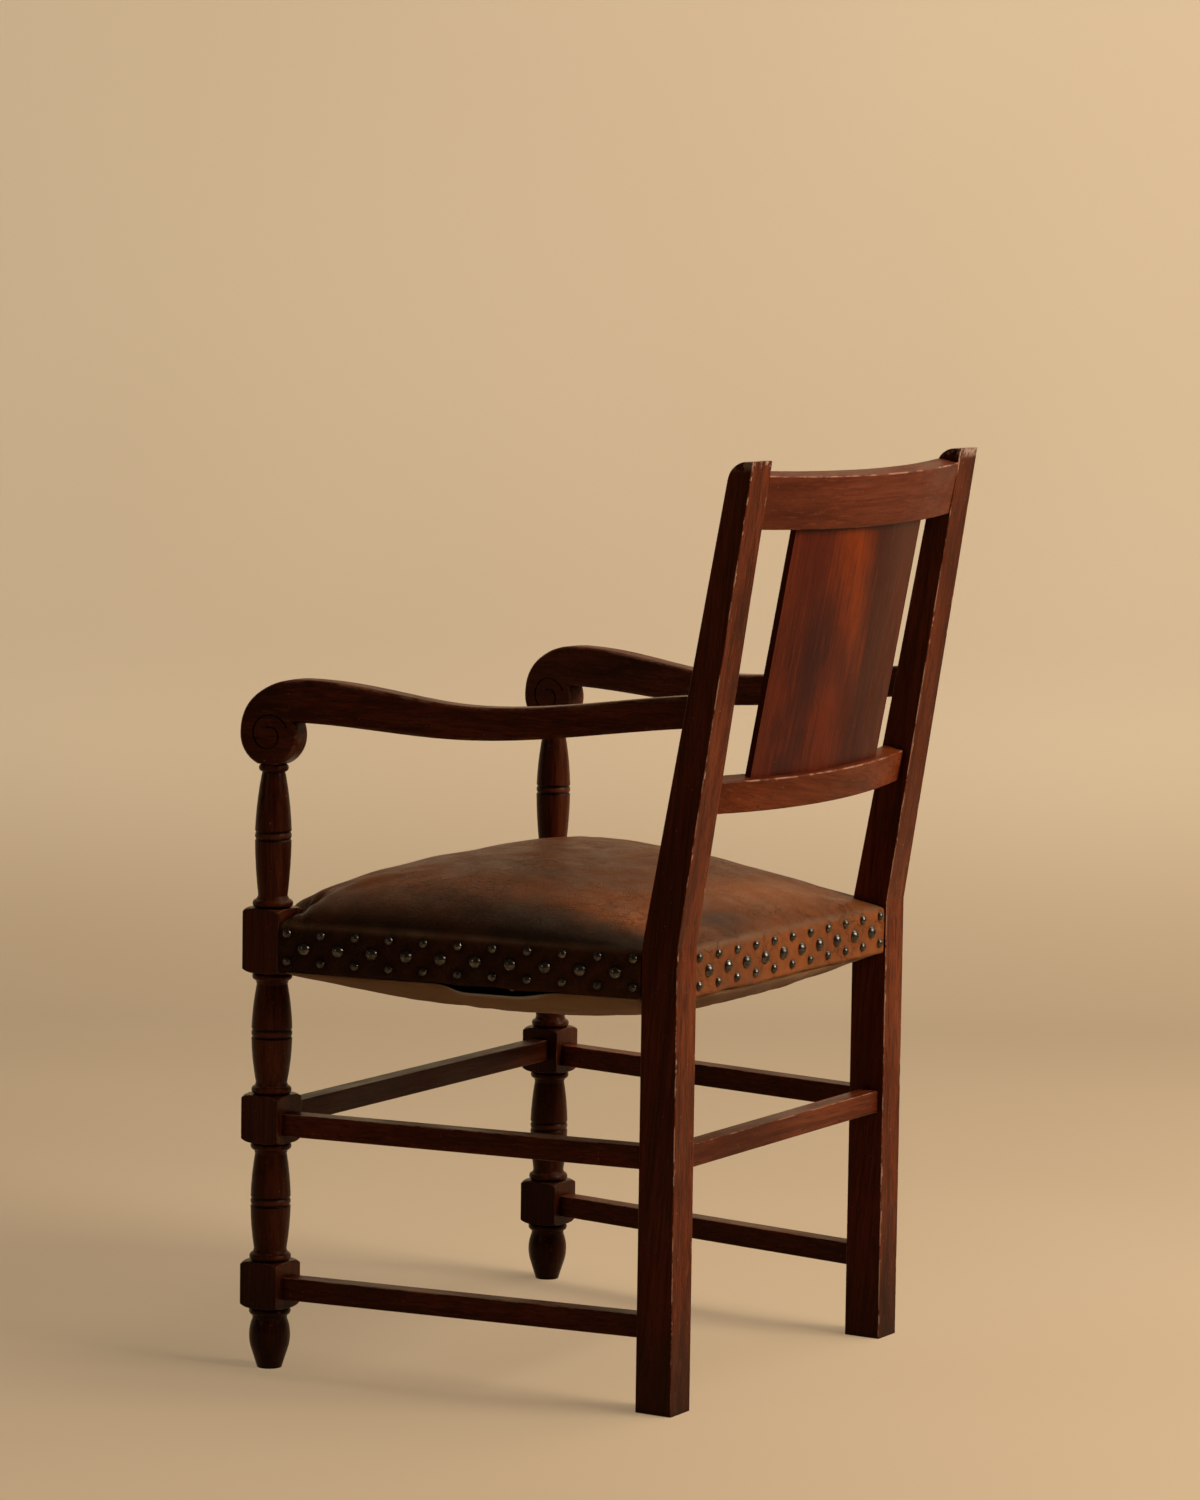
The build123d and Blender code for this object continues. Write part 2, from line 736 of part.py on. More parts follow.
# Tack places under the rails, clear of the webbing
seat_middle_y = (front_rail_inner_y + rear_rail_y) / 2
canvas_top = seat_rail_bottom - webbing_thickness - soft_gap
tack_points = []
for share in tack_places:
    for hand in (1, -1):
        offset_along = hand * share * webbing_spacing
        tack_points.append((offset_along, front_rail_y + seat_rail_thickness / 2))
        tack_points.append((offset_along, rear_rail_y + seat_rail_thickness / 2))
        for side in (1, -1):
            rail_y = seat_middle_y + offset_along
            tack_points.append((side * (side_inner_x(rail_y) + seat_rail_x / 2), rail_y))
tack_seat = canvas_top - canvas_thickness - canvas_least_dip


def drill_tacks():
    """Cut the shank hole of every tack that reaches the piece."""
    with Locations(*[(x, y, tack_seat) for x, y in tack_points]):
        reach = 2 * (tack_shank_length + mortise_room)
        Cylinder(tack_shank_radius + nail_fit, reach, mode=Mode.SUBTRACT)


with BuildPart() as canvas_tacks:
    with Locations(*[(x, y, tack_seat) for x, y in tack_points]):
        Cylinder(tack_shank_radius, tack_shank_length, align=(Align.CENTER, Align.CENTER, Align.MIN))
        Cylinder(tack_head_radius, tack_head_height, align=(Align.CENTER, Align.CENTER, Align.MAX))
save(canvas_tacks, "canvas_tacks")

# Seat rails behind the leather
with BuildPart() as front_rail:
    straight_bar(
        block_inner_x,
        front_rail_y,
        seat_rail_thickness,
        seat_rail_bottom,
        seat_rail_height,
        front_rail_joint,
    )
    drill_nails()
    drill_screws()
    drill_tacks()
save(front_rail, "front_seat_rail")

with BuildPart() as rear_rail:
    straight_bar(
        leg_inner_x, rear_rail_y, seat_rail_thickness, seat_rail_bottom, seat_rail_height, rear_rail_joint
    )
    drill_nails()
    drill_screws()
    drill_tacks()
save(rear_rail, "rear_seat_rail")

with BuildPart() as side_rail:
    with BuildSketch(Plane.XY.offset(seat_rail_bottom)):
        with BuildLine():
            Polyline(
                (side_rail_front_x - seat_rail_x / 2, block_rear_y),
                (side_rail_front_x + seat_rail_x / 2, block_rear_y),
                (side_rail_rear_x + seat_rail_x / 2, leg_front_y),
                (side_rail_rear_x - seat_rail_x / 2, leg_front_y),
                close=True,
            )
        make_face()
    extrude(amount=seat_rail_height)
    tenons(side_rail_front_joint, side_rail_rear_joint)
    drill_nails()
    drill_screws()
    drill_tacks()
save_pair(side_rail, "side_seat_rail")

# Crowned forms of the seat, lofted from front to back
crown_front_y = block_front_y
crown_rear_y = leather_rear_y
crown_peak_y = (crown_front_y + crown_rear_y) / 2 + crown_at * (crown_rear_y - crown_front_y) / 2


def crown_share(station):
    """Share of the rise at a station, from -1 at the front edge to 1 at the rear edge."""
    return (1 - abs(station) ** 1.7) ** 0.75


def crown_y(station, inset):
    """Place of a station, with the edges drawn in by the inset."""
    if station < 0:
        return crown_peak_y + station * (crown_peak_y - crown_front_y - inset)
    return crown_peak_y + station * (crown_rear_y - inset - crown_peak_y)


def crowned(inset, base_z, edge_z, rise, mode=Mode.ADD):
    """Loft a crowned form whose edges are drawn in by the inset from the leather's face."""
    slices = []
    for station in crown_stations:
        y = crown_y(station, inset)
        half = side_x(y) - inset * side_stretch
        lift = max(rise * crown_share(station), least_rise)
        shoulder = (half * crown_shoulder[0], edge_z + lift * crown_shoulder[1])
        flat = (half * crown_flat[0], edge_z + lift * crown_flat[1])
        with BuildSketch(Plane((0, y, 0), x_dir=(1, 0, 0), z_dir=(0, -1, 0))) as crown_slice:
            with BuildLine():
                Polyline((half, edge_z), (half, base_z), (-half, base_z), (-half, edge_z))
                ThreePointArc((-half, edge_z), (-shoulder[0], shoulder[1]), (-flat[0], flat[1]))
                ThreePointArc((-flat[0], flat[1]), (0, edge_z + lift), flat)
                ThreePointArc(flat, shoulder, (half, edge_z))
            make_face()
        slices.append(crown_slice.sketch.face())
    loft(slices, mode=mode)


notch_size = 2 * block_width


def notch_legs():
    """Cut the four corners away round the legs."""
    corners_cut = (
        (block_inner_x - leg_clearance + notch_size / 2, block_rear_y + leg_clearance - notch_size / 2),
        (leg_inner_x - leg_clearance + notch_size / 2, leg_front_y - leg_clearance + notch_size / 2),
    )
    with BuildSketch(Plane.XY.offset(leather_bottom - canvas_sag)) as corner_cuts:
        for x, y in corners_cut:
            with Locations((x, y), (-x, y)):
                Rectangle(notch_size, notch_size)
    extrude(corner_cuts.sketch, amount=2 * (canvas_sag + crown_rise), mode=Mode.SUBTRACT)


# Leather cover, a crowned shell nailed round the rails
inner_bottom = leather_bottom - band_height
with BuildPart() as leather:
    crowned(0, leather_bottom, band_top, crown_rise)
    crowned(leather_thickness, inner_bottom, band_top - leather_thickness, crown_rise, Mode.SUBTRACT)
    notch_legs()
    drill_nails()
save(leather, "leather_cover")

# Hessian over the springs, its rim on the rails
hessian_base = seat_rail_top + soft_gap
hessian_top = hessian_base + hessian_thickness
with BuildPart() as hessian:
    crowned(hessian_inset, hessian_base, hessian_top, hessian_rise)
    crowned(hessian_inset + hessian_rim, inner_bottom, hessian_base, hessian_rise, Mode.SUBTRACT)
    notch_legs()
save(hessian, "spring_hessian")

# Stuffing between the hessian and the leather
with BuildPart() as stuffing:
    crowned(stuffing_inset, hessian_base, band_top - cover, crown_rise)
    crowned(hessian_inset - soft_gap, inner_bottom, hessian_top + soft_gap, hessian_rise, Mode.SUBTRACT)
    notch_legs()
save(stuffing, "seat_stuffing")

# Webbing under the rails; the straps across step up over those that run back
strap_offsets = (-webbing_spacing, 0, webbing_spacing)
over = webbing_thickness + soft_gap
with BuildPart() as long_webbing:
    with BuildSketch(Plane.XY.offset(seat_rail_bottom - webbing_thickness)):
        strap_front = front_rail_y + strap_end
        strap_rear = rear_rail_y + seat_rail_thickness - strap_end
        with Locations(*[(x, (strap_front + strap_rear) / 2) for x in strap_offsets]):
            Rectangle(webbing_width, strap_rear - strap_front)
    extrude(amount=webbing_thickness)
save(long_webbing, "webbing_front_to_back")

with BuildPart() as cross_webbing:
    for offset_y in strap_offsets:
        strap_y = seat_middle_y + offset_y
        inner = side_inner_x(strap_y + webbing_width / 2)
        outer = side_inner_x(strap_y + webbing_width / 2) + seat_rail_x - strap_end
        step_in = inner - webbing_width / 2
        low = seat_rail_bottom - webbing_thickness
        with BuildSketch(Plane((0, strap_y, 0), x_dir=(1, 0, 0), z_dir=(0, -1, 0))):
            with BuildLine():
                Polyline(
                    (0, low + over),
                    (step_in, low + over),
                    (inner - strap_end, low),
                    (outer, low),
                    (outer, seat_rail_bottom),
                    (inner - strap_end, seat_rail_bottom),
                    (step_in, seat_rail_bottom + over),
                    (0, seat_rail_bottom + over),
                    close=True,
                )
            make_face()
            mirror(about=Plane.YZ)
        extrude(amount=webbing_width / 2, both=True)
save(cross_webbing, "webbing_side_to_side")

# Waisted coil springs standing on the webbing
spring_foot = seat_rail_bottom + over + soft_gap + spring_wire / 2


def hessian_under(x, y):
    """Underside of the hessian at a place, from the crown's own shares."""
    edge_y = crown_y(1 if y > crown_peak_y else -1, hessian_inset)
    station = (y - crown_peak_y) / (edge_y - crown_peak_y)
    across = x / (side_x(y) - hessian_inset) / crown_flat[0]
    return hessian_base + hessian_rise * crown_share(station) * (1 - (1 - crown_flat[1]) * across**2)


def coil_point(turn, x, y, height):
    """Point on a waisted coil after this many turns."""
    waist = abs(2 * turn / spring_turns - 1) ** 1.5
    radius = spring_waist_radius + (spring_end_radius - spring_waist_radius) * waist
    angle = 2 * pi * turn
    lift = height * turn / spring_turns
    return Vector(x + radius * cos(angle), y + radius * sin(angle), spring_foot + lift)


def coil_direction(turn, x, y, height):
    """Unit direction of the coil after this many turns."""
    step = 0.001
    return (coil_point(turn + step, x, y, height) - coil_point(turn - step, x, y, height)).normalized()


def biarc(start, start_way, end, end_way):
    """Two arcs that leave one point and reach the next along given directions."""
    chord = end - start
    ways = start_way + end_way
    spread = 2 * (1 - start_way.dot(end_way))
    along = chord.dot(ways)
    reach = (sqrt(along**2 + spread * chord.dot(chord)) - along) / spread
    middle_way = (end - end_way * reach) - (start + start_way * reach)
    middle = (start + start_way * reach) + middle_way * 0.5
    TangentArc(start, middle, tangent=start_way)
    TangentArc(middle, end, tangent=middle_way)


def least_coil_gap(height):
    """Least clear gap between neighbouring turns, measured on points."""
    points = [coil_point(step / 24, 0, 0, height) for step in range(24 * spring_turns + 1)]
    gaps = [
        (points[later] - points[first]).length
        for first in range(len(points))
        for later in range(first + 12, len(points))
    ]
    return min(gaps) - spring_wire


spring_points = [(0, seat_middle_y)]
for offset_x in (-webbing_spacing, webbing_spacing):
    for offset_y in (-webbing_spacing, webbing_spacing):
        spring_points.append((offset_x, seat_middle_y + offset_y))
with BuildPart() as springs:
    for spring_x, spring_y in spring_points:
        out_x = abs(spring_x) + spring_end_radius
        under_front = hessian_under(out_x, spring_y - spring_end_radius)
        under_rear = hessian_under(out_x, spring_y + spring_end_radius)
        spring_top = min(under_front, under_rear) - spring_head_room - spring_wire / 2
        height = spring_top - spring_foot
        with BuildLine() as coil:
            for quarter in range(4 * spring_turns):
                turn = quarter / 4
                following = (quarter + 1) / 4
                biarc(
                    coil_point(turn, spring_x, spring_y, height),
                    coil_direction(turn, spring_x, spring_y, height),
                    coil_point(following, spring_x, spring_y, height),
                    coil_direction(following, spring_x, spring_y, height),
                )
        first = coil_point(0, spring_x, spring_y, height)
        with BuildSketch(Plane(first, z_dir=coil_direction(0, spring_x, spring_y, height))) as wire_end:
            Circle(spring_wire / 2)
        sweep(sections=wire_end.sketch, path=coil.wire())
        print("least gap between spring turns", round(least_coil_gap(height), 2))
save(springs, "seat_springs")

# Bottom canvas, tacked under the rails and sagging between them
canvas_front_y = front_rail_y + canvas_inset - cover
canvas_rear_y = rear_rail_y + seat_rail_thickness + cover - canvas_inset
with BuildPart() as canvas:
    canvas_slices = []
    bowl_front = canvas_front_y + canvas_margin
    bowl_rear = canvas_rear_y - canvas_margin
    bowl_middle = (bowl_front + bowl_rear) / 2
    bowl_half = (bowl_rear - bowl_front) / 2
    rows = [(canvas_front_y, 0)]
    for station in canvas_stations:
        rows.append((bowl_middle + station * bowl_half, canvas_sag * (1 - station**2)))
    rows.append((canvas_rear_y, 0))
    for y, sag in rows:
        half = side_x(y) - canvas_inset * side_stretch
        bowl = half - canvas_margin
        top = canvas_top
        under = canvas_top - canvas_thickness
        dip = max(sag, canvas_least_dip)
        with BuildSketch(Plane((0, y, 0), x_dir=(1, 0, 0), z_dir=(0, -1, 0))) as canvas_slice:
            with BuildLine():
                Polyline((-bowl, top), (-half, top), (-half, under), (-bowl, under))
                ThreePointArc((-bowl, under), (0, under - dip), (bowl, under))
                Polyline((bowl, under), (half, under), (half, top), (bowl, top))
                ThreePointArc((bowl, top), (0, top - dip), (-bowl, top))
            make_face()
        canvas_slices.append(canvas_slice.sketch.face())
    loft(canvas_slices, ruled=True)
    notch_legs()
    drill_tacks()
save(canvas, "bottom_canvas")
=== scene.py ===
import math

import bpy
from mathutils import Matrix, Vector, noise


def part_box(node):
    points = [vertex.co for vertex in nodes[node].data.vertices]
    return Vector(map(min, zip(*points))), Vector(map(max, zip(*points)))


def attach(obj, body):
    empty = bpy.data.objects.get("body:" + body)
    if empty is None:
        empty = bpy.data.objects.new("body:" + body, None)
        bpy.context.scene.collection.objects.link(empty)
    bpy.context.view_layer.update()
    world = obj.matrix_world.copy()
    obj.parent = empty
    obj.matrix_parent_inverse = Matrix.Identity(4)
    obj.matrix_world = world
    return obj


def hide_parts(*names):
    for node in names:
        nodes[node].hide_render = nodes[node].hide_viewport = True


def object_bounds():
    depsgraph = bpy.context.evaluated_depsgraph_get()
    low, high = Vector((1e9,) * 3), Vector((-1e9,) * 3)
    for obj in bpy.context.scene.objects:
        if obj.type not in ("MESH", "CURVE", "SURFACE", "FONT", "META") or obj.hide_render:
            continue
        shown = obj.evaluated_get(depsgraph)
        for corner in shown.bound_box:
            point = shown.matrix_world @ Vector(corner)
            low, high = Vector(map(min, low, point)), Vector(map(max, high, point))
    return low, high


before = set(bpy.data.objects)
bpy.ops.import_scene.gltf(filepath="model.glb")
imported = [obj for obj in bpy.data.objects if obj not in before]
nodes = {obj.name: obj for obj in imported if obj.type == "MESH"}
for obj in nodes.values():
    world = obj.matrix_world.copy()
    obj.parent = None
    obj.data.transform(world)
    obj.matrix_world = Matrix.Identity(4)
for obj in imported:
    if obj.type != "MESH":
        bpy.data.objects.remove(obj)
cad_low, cad_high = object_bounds()
scene = bpy.context.scene

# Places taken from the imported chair, in metres
block_low, block_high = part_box("front_leg_left")
leg_low, leg_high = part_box("rear_leg_left")
leather_low, leather_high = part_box("leather_cover")
front_y = leather_low.y
rear_y = leather_high.y
block_inner = block_low.x
block_outer = block_high.x
block_rear = block_high.y
leg_inner = leg_low.x
leg_outer = leg_high.x
leg_front = leg_low.y
band_bottom = leather_low.z
band_height = 0.044
band_top = band_bottom + band_height
side_slope = (block_outer - leg_outer) / (leg_front - block_rear)


def side_x(y):
    """Half width of the seat at a station."""
    return block_outer - side_slope * (y - block_rear)


def smooth(low, high, value):
    """Smooth step from 0 at low to 1 at high."""
    share = min(1.0, max(0.0, (value - low) / (high - low)))
    return share * share * (3 - 2 * share)


def deselect():
    """Leave nothing selected."""
    bpy.ops.object.select_all(action="DESELECT")


def apply_all(piece):
    """Apply every modifier of a piece, in order."""
    deselect()
    bpy.context.view_layer.objects.active = piece
    piece.select_set(True)
    for modifier in list(piece.modifiers):
        bpy.ops.object.modifier_apply(modifier=modifier.name)


def shade(piece):
    """Shade a piece smoothly."""
    deselect()
    piece.select_set(True)
    bpy.context.view_layer.objects.active = piece
    bpy.ops.object.shade_smooth()


def delete_points(piece, away):
    """Delete the marked points of the active piece, and turn its faces outward."""
    bpy.ops.object.mode_set(mode="EDIT")
    bpy.ops.mesh.select_mode(type="VERT")
    bpy.ops.mesh.select_all(action="DESELECT")
    bpy.ops.object.mode_set(mode="OBJECT")
    for vertex, gone in zip(piece.data.vertices, away):
        vertex.select = gone
    bpy.ops.object.mode_set(mode="EDIT")
    bpy.ops.mesh.delete(type="VERT")
    bpy.ops.mesh.select_all(action="SELECT")
    bpy.ops.mesh.normals_make_consistent(inside=False)
    bpy.ops.object.mode_set(mode="OBJECT")


# Finishes
class Finish:
    """A node material that is built up one node at a time."""

    def __init__(self, name):
        self.material = bpy.data.materials.new(name)
        self.material.use_nodes = True
        self.tree = self.material.node_tree
        self.shader = self.tree.nodes["Principled BSDF"]

    def node(self, kind, **settings):
        made = self.tree.nodes.new(kind)
        for key, value in settings.items():
            setattr(made, key, value)
        return made

    def put(self, socket, value):
        """Link an output to a socket, or set its value."""
        if isinstance(value, bpy.types.NodeSocket):
            self.tree.links.new(value, socket)
        elif socket.type == "RGBA" and len(value) == 3:
            socket.default_value = (*value, 1.0)
        else:
            socket.default_value = value

    def place(self, scale=(1, 1, 1), turn=(0, 0, 0), shift=(0, 0, 0)):
        """Object coordinates, shifted, turned and scaled."""
        coordinates = self.node("ShaderNodeTexCoord").outputs["Object"]
        mapping = self.node("ShaderNodeMapping")
        self.put(mapping.inputs["Vector"], coordinates)
        mapping.inputs["Location"].default_value = shift
        mapping.inputs["Rotation"].default_value = turn
        turned = mapping.outputs["Vector"]
        stretch = self.node("ShaderNodeVectorMath", operation="MULTIPLY")
        self.put(stretch.inputs[0], turned)
        stretch.inputs[1].default_value = scale
        return stretch.outputs["Vector"]

    def cloud(self, vector, detail=4.0, rough=0.55, distort=0.0):
        """Noise from 0 to 1."""
        made = self.node("ShaderNodeTexNoise")
        self.put(made.inputs["Vector"], vector)
        made.inputs["Scale"].default_value = 1.0
        made.inputs["Detail"].default_value = detail
        made.inputs["Roughness"].default_value = rough
        made.inputs["Distortion"].default_value = distort
        return made.outputs["Fac"]

    def cells(self, vector, scale):
        """Distance to the nearest edge of a cell pattern."""
        made = self.node("ShaderNodeTexVoronoi", feature="DISTANCE_TO_EDGE")
        self.put(made.inputs["Vector"], vector)
        made.inputs["Scale"].default_value = scale
        made.inputs["Randomness"].default_value = 1.0
        return made.outputs["Distance"]

    def span(self, value, low, high, to_low=0.0, to_high=1.0):
        """Map a span of values to another, clamped."""
        made = self.node("ShaderNodeMapRange", interpolation_type="SMOOTHSTEP")
        self.put(made.inputs["Value"], value)
        made.inputs["From Min"].default_value = low
        made.inputs["From Max"].default_value = high
        made.inputs["To Min"].default_value = to_low
        made.inputs["To Max"].default_value = to_high
        return made.outputs["Result"]

    def maths(self, operation, first, second=0.0):
        made = self.node("ShaderNodeMath", operation=operation)
        self.put(made.inputs[0], first)
        self.put(made.inputs[1], second)
        return made.outputs[0]

    def ramp(self, value, *stops):
        """Colour ramp from pairs of place and colour."""
        made = self.node("ShaderNodeValToRGB")
        self.put(made.inputs["Fac"], value)
        elements = made.color_ramp.elements
        while len(elements) < len(stops):
            elements.new(0.5)
        for element, (place, colour) in zip(elements, stops):
            element.position = place
            element.color = (*colour, 1.0)
        return made.outputs["Color"]

    def mix(self, share, first, second, blend="MIX"):
        """Mix two colours."""
        made = self.node("ShaderNodeMix", data_type="RGBA", blend_type=blend)
        self.put(made.inputs[0], share)
        self.put(made.inputs[6], first)
        self.put(made.inputs[7], second)
        return made.outputs[2]

    def edges(self, radius):
        """How near a sharp edge is, from 0 to 1, and the rounded normal."""
        rounded = self.node("ShaderNodeBevel", samples=6)
        rounded.inputs["Radius"].default_value = radius
        straight = self.node("ShaderNodeNewGeometry").outputs["Normal"]
        dot = self.node("ShaderNodeVectorMath", operation="DOT_PRODUCT")
        self.put(dot.inputs[0], rounded.outputs["Normal"])
        self.put(dot.inputs[1], straight)
        return self.span(dot.outputs["Value"], 0.995, 0.86), rounded.outputs["Normal"]

    def arris(self, axis):
        """How far a face is turned away both from an axis and from square to it, from 0 to 1."""
        straight = self.node("ShaderNodeNewGeometry").outputs["True Normal"]
        dot = self.node("ShaderNodeVectorMath", operation="DOT_PRODUCT")
        self.put(dot.inputs[0], straight)
        dot.inputs[1].default_value = axis
        along = self.maths("ABSOLUTE", dot.outputs["Value"])
        rest = self.maths("SUBTRACT", 1.0, self.maths("MULTIPLY", along, along))
        square = self.maths("SQRT", rest)
        return self.span(self.maths("MAXIMUM", along, square), 0.985, 0.90)

    def stray(self, value, cloud, share):
        """Shift a value by a share of how far a cloud is from its middle."""
        off = self.maths("SUBTRACT", cloud, 0.5)
        return self.maths("ADD", value, self.maths("MULTIPLY", off, share))

    def hollows(self, distance):
        """How open a place is, 0 deep in a hollow."""
        made = self.node("ShaderNodeAmbientOcclusion", samples=4)
        made.inputs["Distance"].default_value = distance
        return made.outputs["AO"]

    def attribute(self, name):
        return self.node("ShaderNodeAttribute", attribute_name=name).outputs["Fac"]

    def bump(self, height, strength, distance, normal=None):
        made = self.node("ShaderNodeBump")
        self.put(made.inputs["Height"], height)
        made.inputs["Strength"].default_value = strength
        made.inputs["Distance"].default_value = distance
        if normal is not None:
            self.put(made.inputs["Normal"], normal)
        return made.outputs["Normal"]

    def set(self, **values):
        """Set the shader's own sockets by name, with underscores for spaces."""
        for key, value in values.items():
            self.put(self.shader.inputs[key.replace("_", " ")], value)


def wood(
    name, turn, tones, axis=None, gloss=0.36, fleck=0.55, lines=0.55,
    shift=(0, 0, 0), chip_z=2.0, flank=None, rub=0.8, hollow=(0.012, 0.25, 0.85), beads=(),
):
    """Polished old wood with its grain along the turned Z axis.

    Chips lie on the faces that are slantwise to an axis, or at every sharp edge if none is given.
    """
    dark, middle, light = tones
    worn = (0.46, 0.225, 0.135)
    finish = Finish(name)
    broad = finish.place((30, 30, 2.2), turn, shift)
    figure = finish.cloud(broad, detail=5, rough=0.6, distort=0.6)
    streak = finish.cloud(finish.place((165, 165, 5), turn, shift), detail=5, rough=0.62)
    grain = finish.cloud(finish.place((400, 400, 15), turn, shift), detail=4, rough=0.6)
    pores = finish.cloud(finish.place((620, 620, 40), turn, shift), detail=2, rough=0.5)
    blotch = finish.cloud(finish.place((9, 9, 5), turn, shift), detail=3, rough=0.5)
    pore_mask = finish.span(pores, 0.58, 0.68)
    base = finish.ramp(figure, (0.32, dark), (0.48, middle), (0.70, light))
    base = finish.mix(finish.span(streak, 0.46, 0.62, 0.0, lines), base, dark)
    base = finish.mix(finish.span(grain, 0.53, 0.66, 0.0, lines + 0.1), base, dark)
    base = finish.mix(finish.span(grain, 0.47, 0.33, 0.0, 0.55), base, light)
    base = finish.mix(finish.maths("MULTIPLY", pore_mask, fleck), base, (0.012, 0.003, 0.0012))
    base = finish.mix(finish.span(blotch, 0.44, 0.66, 0.0, 0.45), base, dark)
    edge, soft_normal = finish.edges(0.002) if axis is None else (finish.arris(axis), None)
    chips = finish.cloud(finish.place((90, 90, 30), turn, shift), detail=6, rough=0.72)
    rubbed = finish.maths("MULTIPLY", edge, finish.span(chips, 0.47, 0.56))
    base = finish.mix(finish.maths("MULTIPLY", rubbed, rub), base, worn)
    dust = finish.cloud(finish.place((300, 300, 300)), detail=3, rough=0.6)
    specks = finish.span(dust, 0.69, 0.73)
    base = finish.mix(finish.maths("MULTIPLY", specks, 0.45), base, worn)
    level = finish.node("ShaderNodeSeparateXYZ")
    finish.put(level.inputs[0], finish.place())
    if flank:
        middle_x, half = flank
        off = finish.maths("SUBTRACT", finish.maths("ABSOLUTE", level.outputs["X"]), middle_x)
        facing = finish.node("ShaderNodeSeparateXYZ")
        finish.put(facing.inputs[0], finish.node("ShaderNodeNewGeometry").outputs["True Normal"])
        rim = finish.span(finish.maths("ABSOLUTE", off), half - 0.0032, half - 0.0010)
        sideways = finish.maths("ABSOLUTE", facing.outputs["X"])
        rim = finish.maths("MULTIPLY", rim, finish.span(sideways, 0.8, 0.4))
        knocks = finish.cloud(finish.place((70, 70, 55), shift=(0.6, 0, 0)), detail=5, rough=0.7)
        nicked = finish.maths("MULTIPLY", rim, finish.span(knocks, 0.575, 0.625))
        base = finish.mix(finish.maths("MULTIPLY", nicked, 0.9), base, worn)
    # Each bead gets a lighter crest, partly rubbed wear and partly a painted highlight, and thin
    # stripes of painted shade in the grooves beside it
    for bead in beads:
        off = finish.maths("ABSOLUTE", finish.maths("SUBTRACT", level.outputs["Z"], bead))
        bead_rub_and_highlight = finish.span(off, 0.0026, 0.0008, 0.0, 0.45)
        base = finish.mix(bead_rub_and_highlight, base, (0.150, 0.040, 0.019))
        beside = finish.maths("ABSOLUTE", finish.maths("SUBTRACT", off, 0.0040))
        painted_groove_shade = finish.span(beside, 0.0018, 0.0008, 0.0, 0.9)
        base = finish.mix(painted_groove_shade, base, (0.004, 0.0014, 0.0008))
    breaks = finish.cloud(finish.place((85, 85, 60), shift=(0.2, 0, 0)), detail=5, rough=0.7)
    topmost = finish.span(level.outputs["Z"], chip_z - 0.011, chip_z - 0.003)
    top_chips = finish.maths("MULTIPLY", topmost, finish.span(breaks, 0.46, 0.54))
    base = finish.mix(finish.maths("MULTIPLY", top_chips, 0.8), base, (0.46, 0.29, 0.20))
    # Painted shade, with some grime: ambient occlusion darkens the wood in hollows, grooves and
    # joints. The wood is also darker towards the floor.
    hollow_reach, hollow_low, hollow_high = hollow
    hollow_darkening = finish.span(finish.hollows(hollow_reach), hollow_low, hollow_high, 0.25, 1.0)
    hollow_and_low_darkening = finish.maths("MULTIPLY", hollow_darkening, finish.span(level.outputs["Z"], 0.0, 0.14, 0.5, 1.0))
    base = finish.mix(1.0, base, finish.ramp(hollow_and_low_darkening, (0.0, (0, 0, 0)), (1.0, (1, 1, 1))), "MULTIPLY")
    smears = finish.cloud(finish.place((22, 22, 9), turn), detail=5, rough=0.6)
    rough = finish.span(smears, 0.3, 0.7, gloss - 0.07, gloss + 0.12)
    rough = finish.maths("ADD", rough, finish.maths("MULTIPLY", rubbed, 0.25))
    height = finish.maths("SUBTRACT", finish.maths("MULTIPLY", grain, 0.4), pore_mask)
    height = finish.maths("SUBTRACT", height, finish.maths("MULTIPLY", rubbed, 1.6))
    finish.set(
        Base_Color=base,
        Roughness=rough,
        Normal=finish.bump(height, 0.35, 0.0004, soft_normal),
        Specular_IOR_Level=0.10,
        Specular_Tint=(1.0, 0.62, 0.38),
        Coat_Weight=0.02,
        Coat_Roughness=0.2,
    )
    return finish.material


frame_tones = ((0.038, 0.0056, 0.0013), (0.116, 0.0190, 0.0044), (0.190, 0.039, 0.0105))
turned_tones = ((0.020, 0.0034, 0.0011), (0.062, 0.0108, 0.0030), (0.112, 0.0238, 0.0068))
grey_tones = ((0.052, 0.0125, 0.0062), (0.140, 0.0315, 0.0138), (0.205, 0.053, 0.0235))
rail_tones = ((0.058, 0.0102, 0.0036), (0.120, 0.0215, 0.0066), (0.178, 0.041, 0.0145))
gold_tones = ((0.060, 0.0092, 0.0019), (0.138, 0.0222, 0.0044), (0.228, 0.048, 0.0105))
bare_tones = ((0.22, 0.13, 0.065), (0.36, 0.23, 0.125), (0.46, 0.31, 0.18))
quarter = math.pi / 2
arm_angle = math.radians(6.7)
side_angle = math.atan(side_slope)
leg_lean = math.radians(5)
rake = math.radians(10.76)
up = (0, 0, 1)
up_rake = (0, math.sin(rake), math.cos(rake))
across_left_arm = (math.cos(arm_angle), math.sin(arm_angle), 0)
across_right_arm = (math.cos(arm_angle), -math.sin(arm_angle), 0)
leg_flank = ((leg_inner + leg_outer) / 2, (leg_outer - leg_inner) / 2)
bead_heights = (0.1645, 0.32975, 0.5225)
upright = wood(
    "upright_wood", (leg_lean, 0, 0), frame_tones, (1, 0, 0), chip_z=cad_high.z, flank=leg_flank
)
turned = wood(
    "turned_wood", (0, 0, 0), turned_tones, gloss=0.30, shift=(0.3, 0.1, 0), rub=0.35,
    hollow=(0.004, 0.5, 0.97), beads=bead_heights,
)
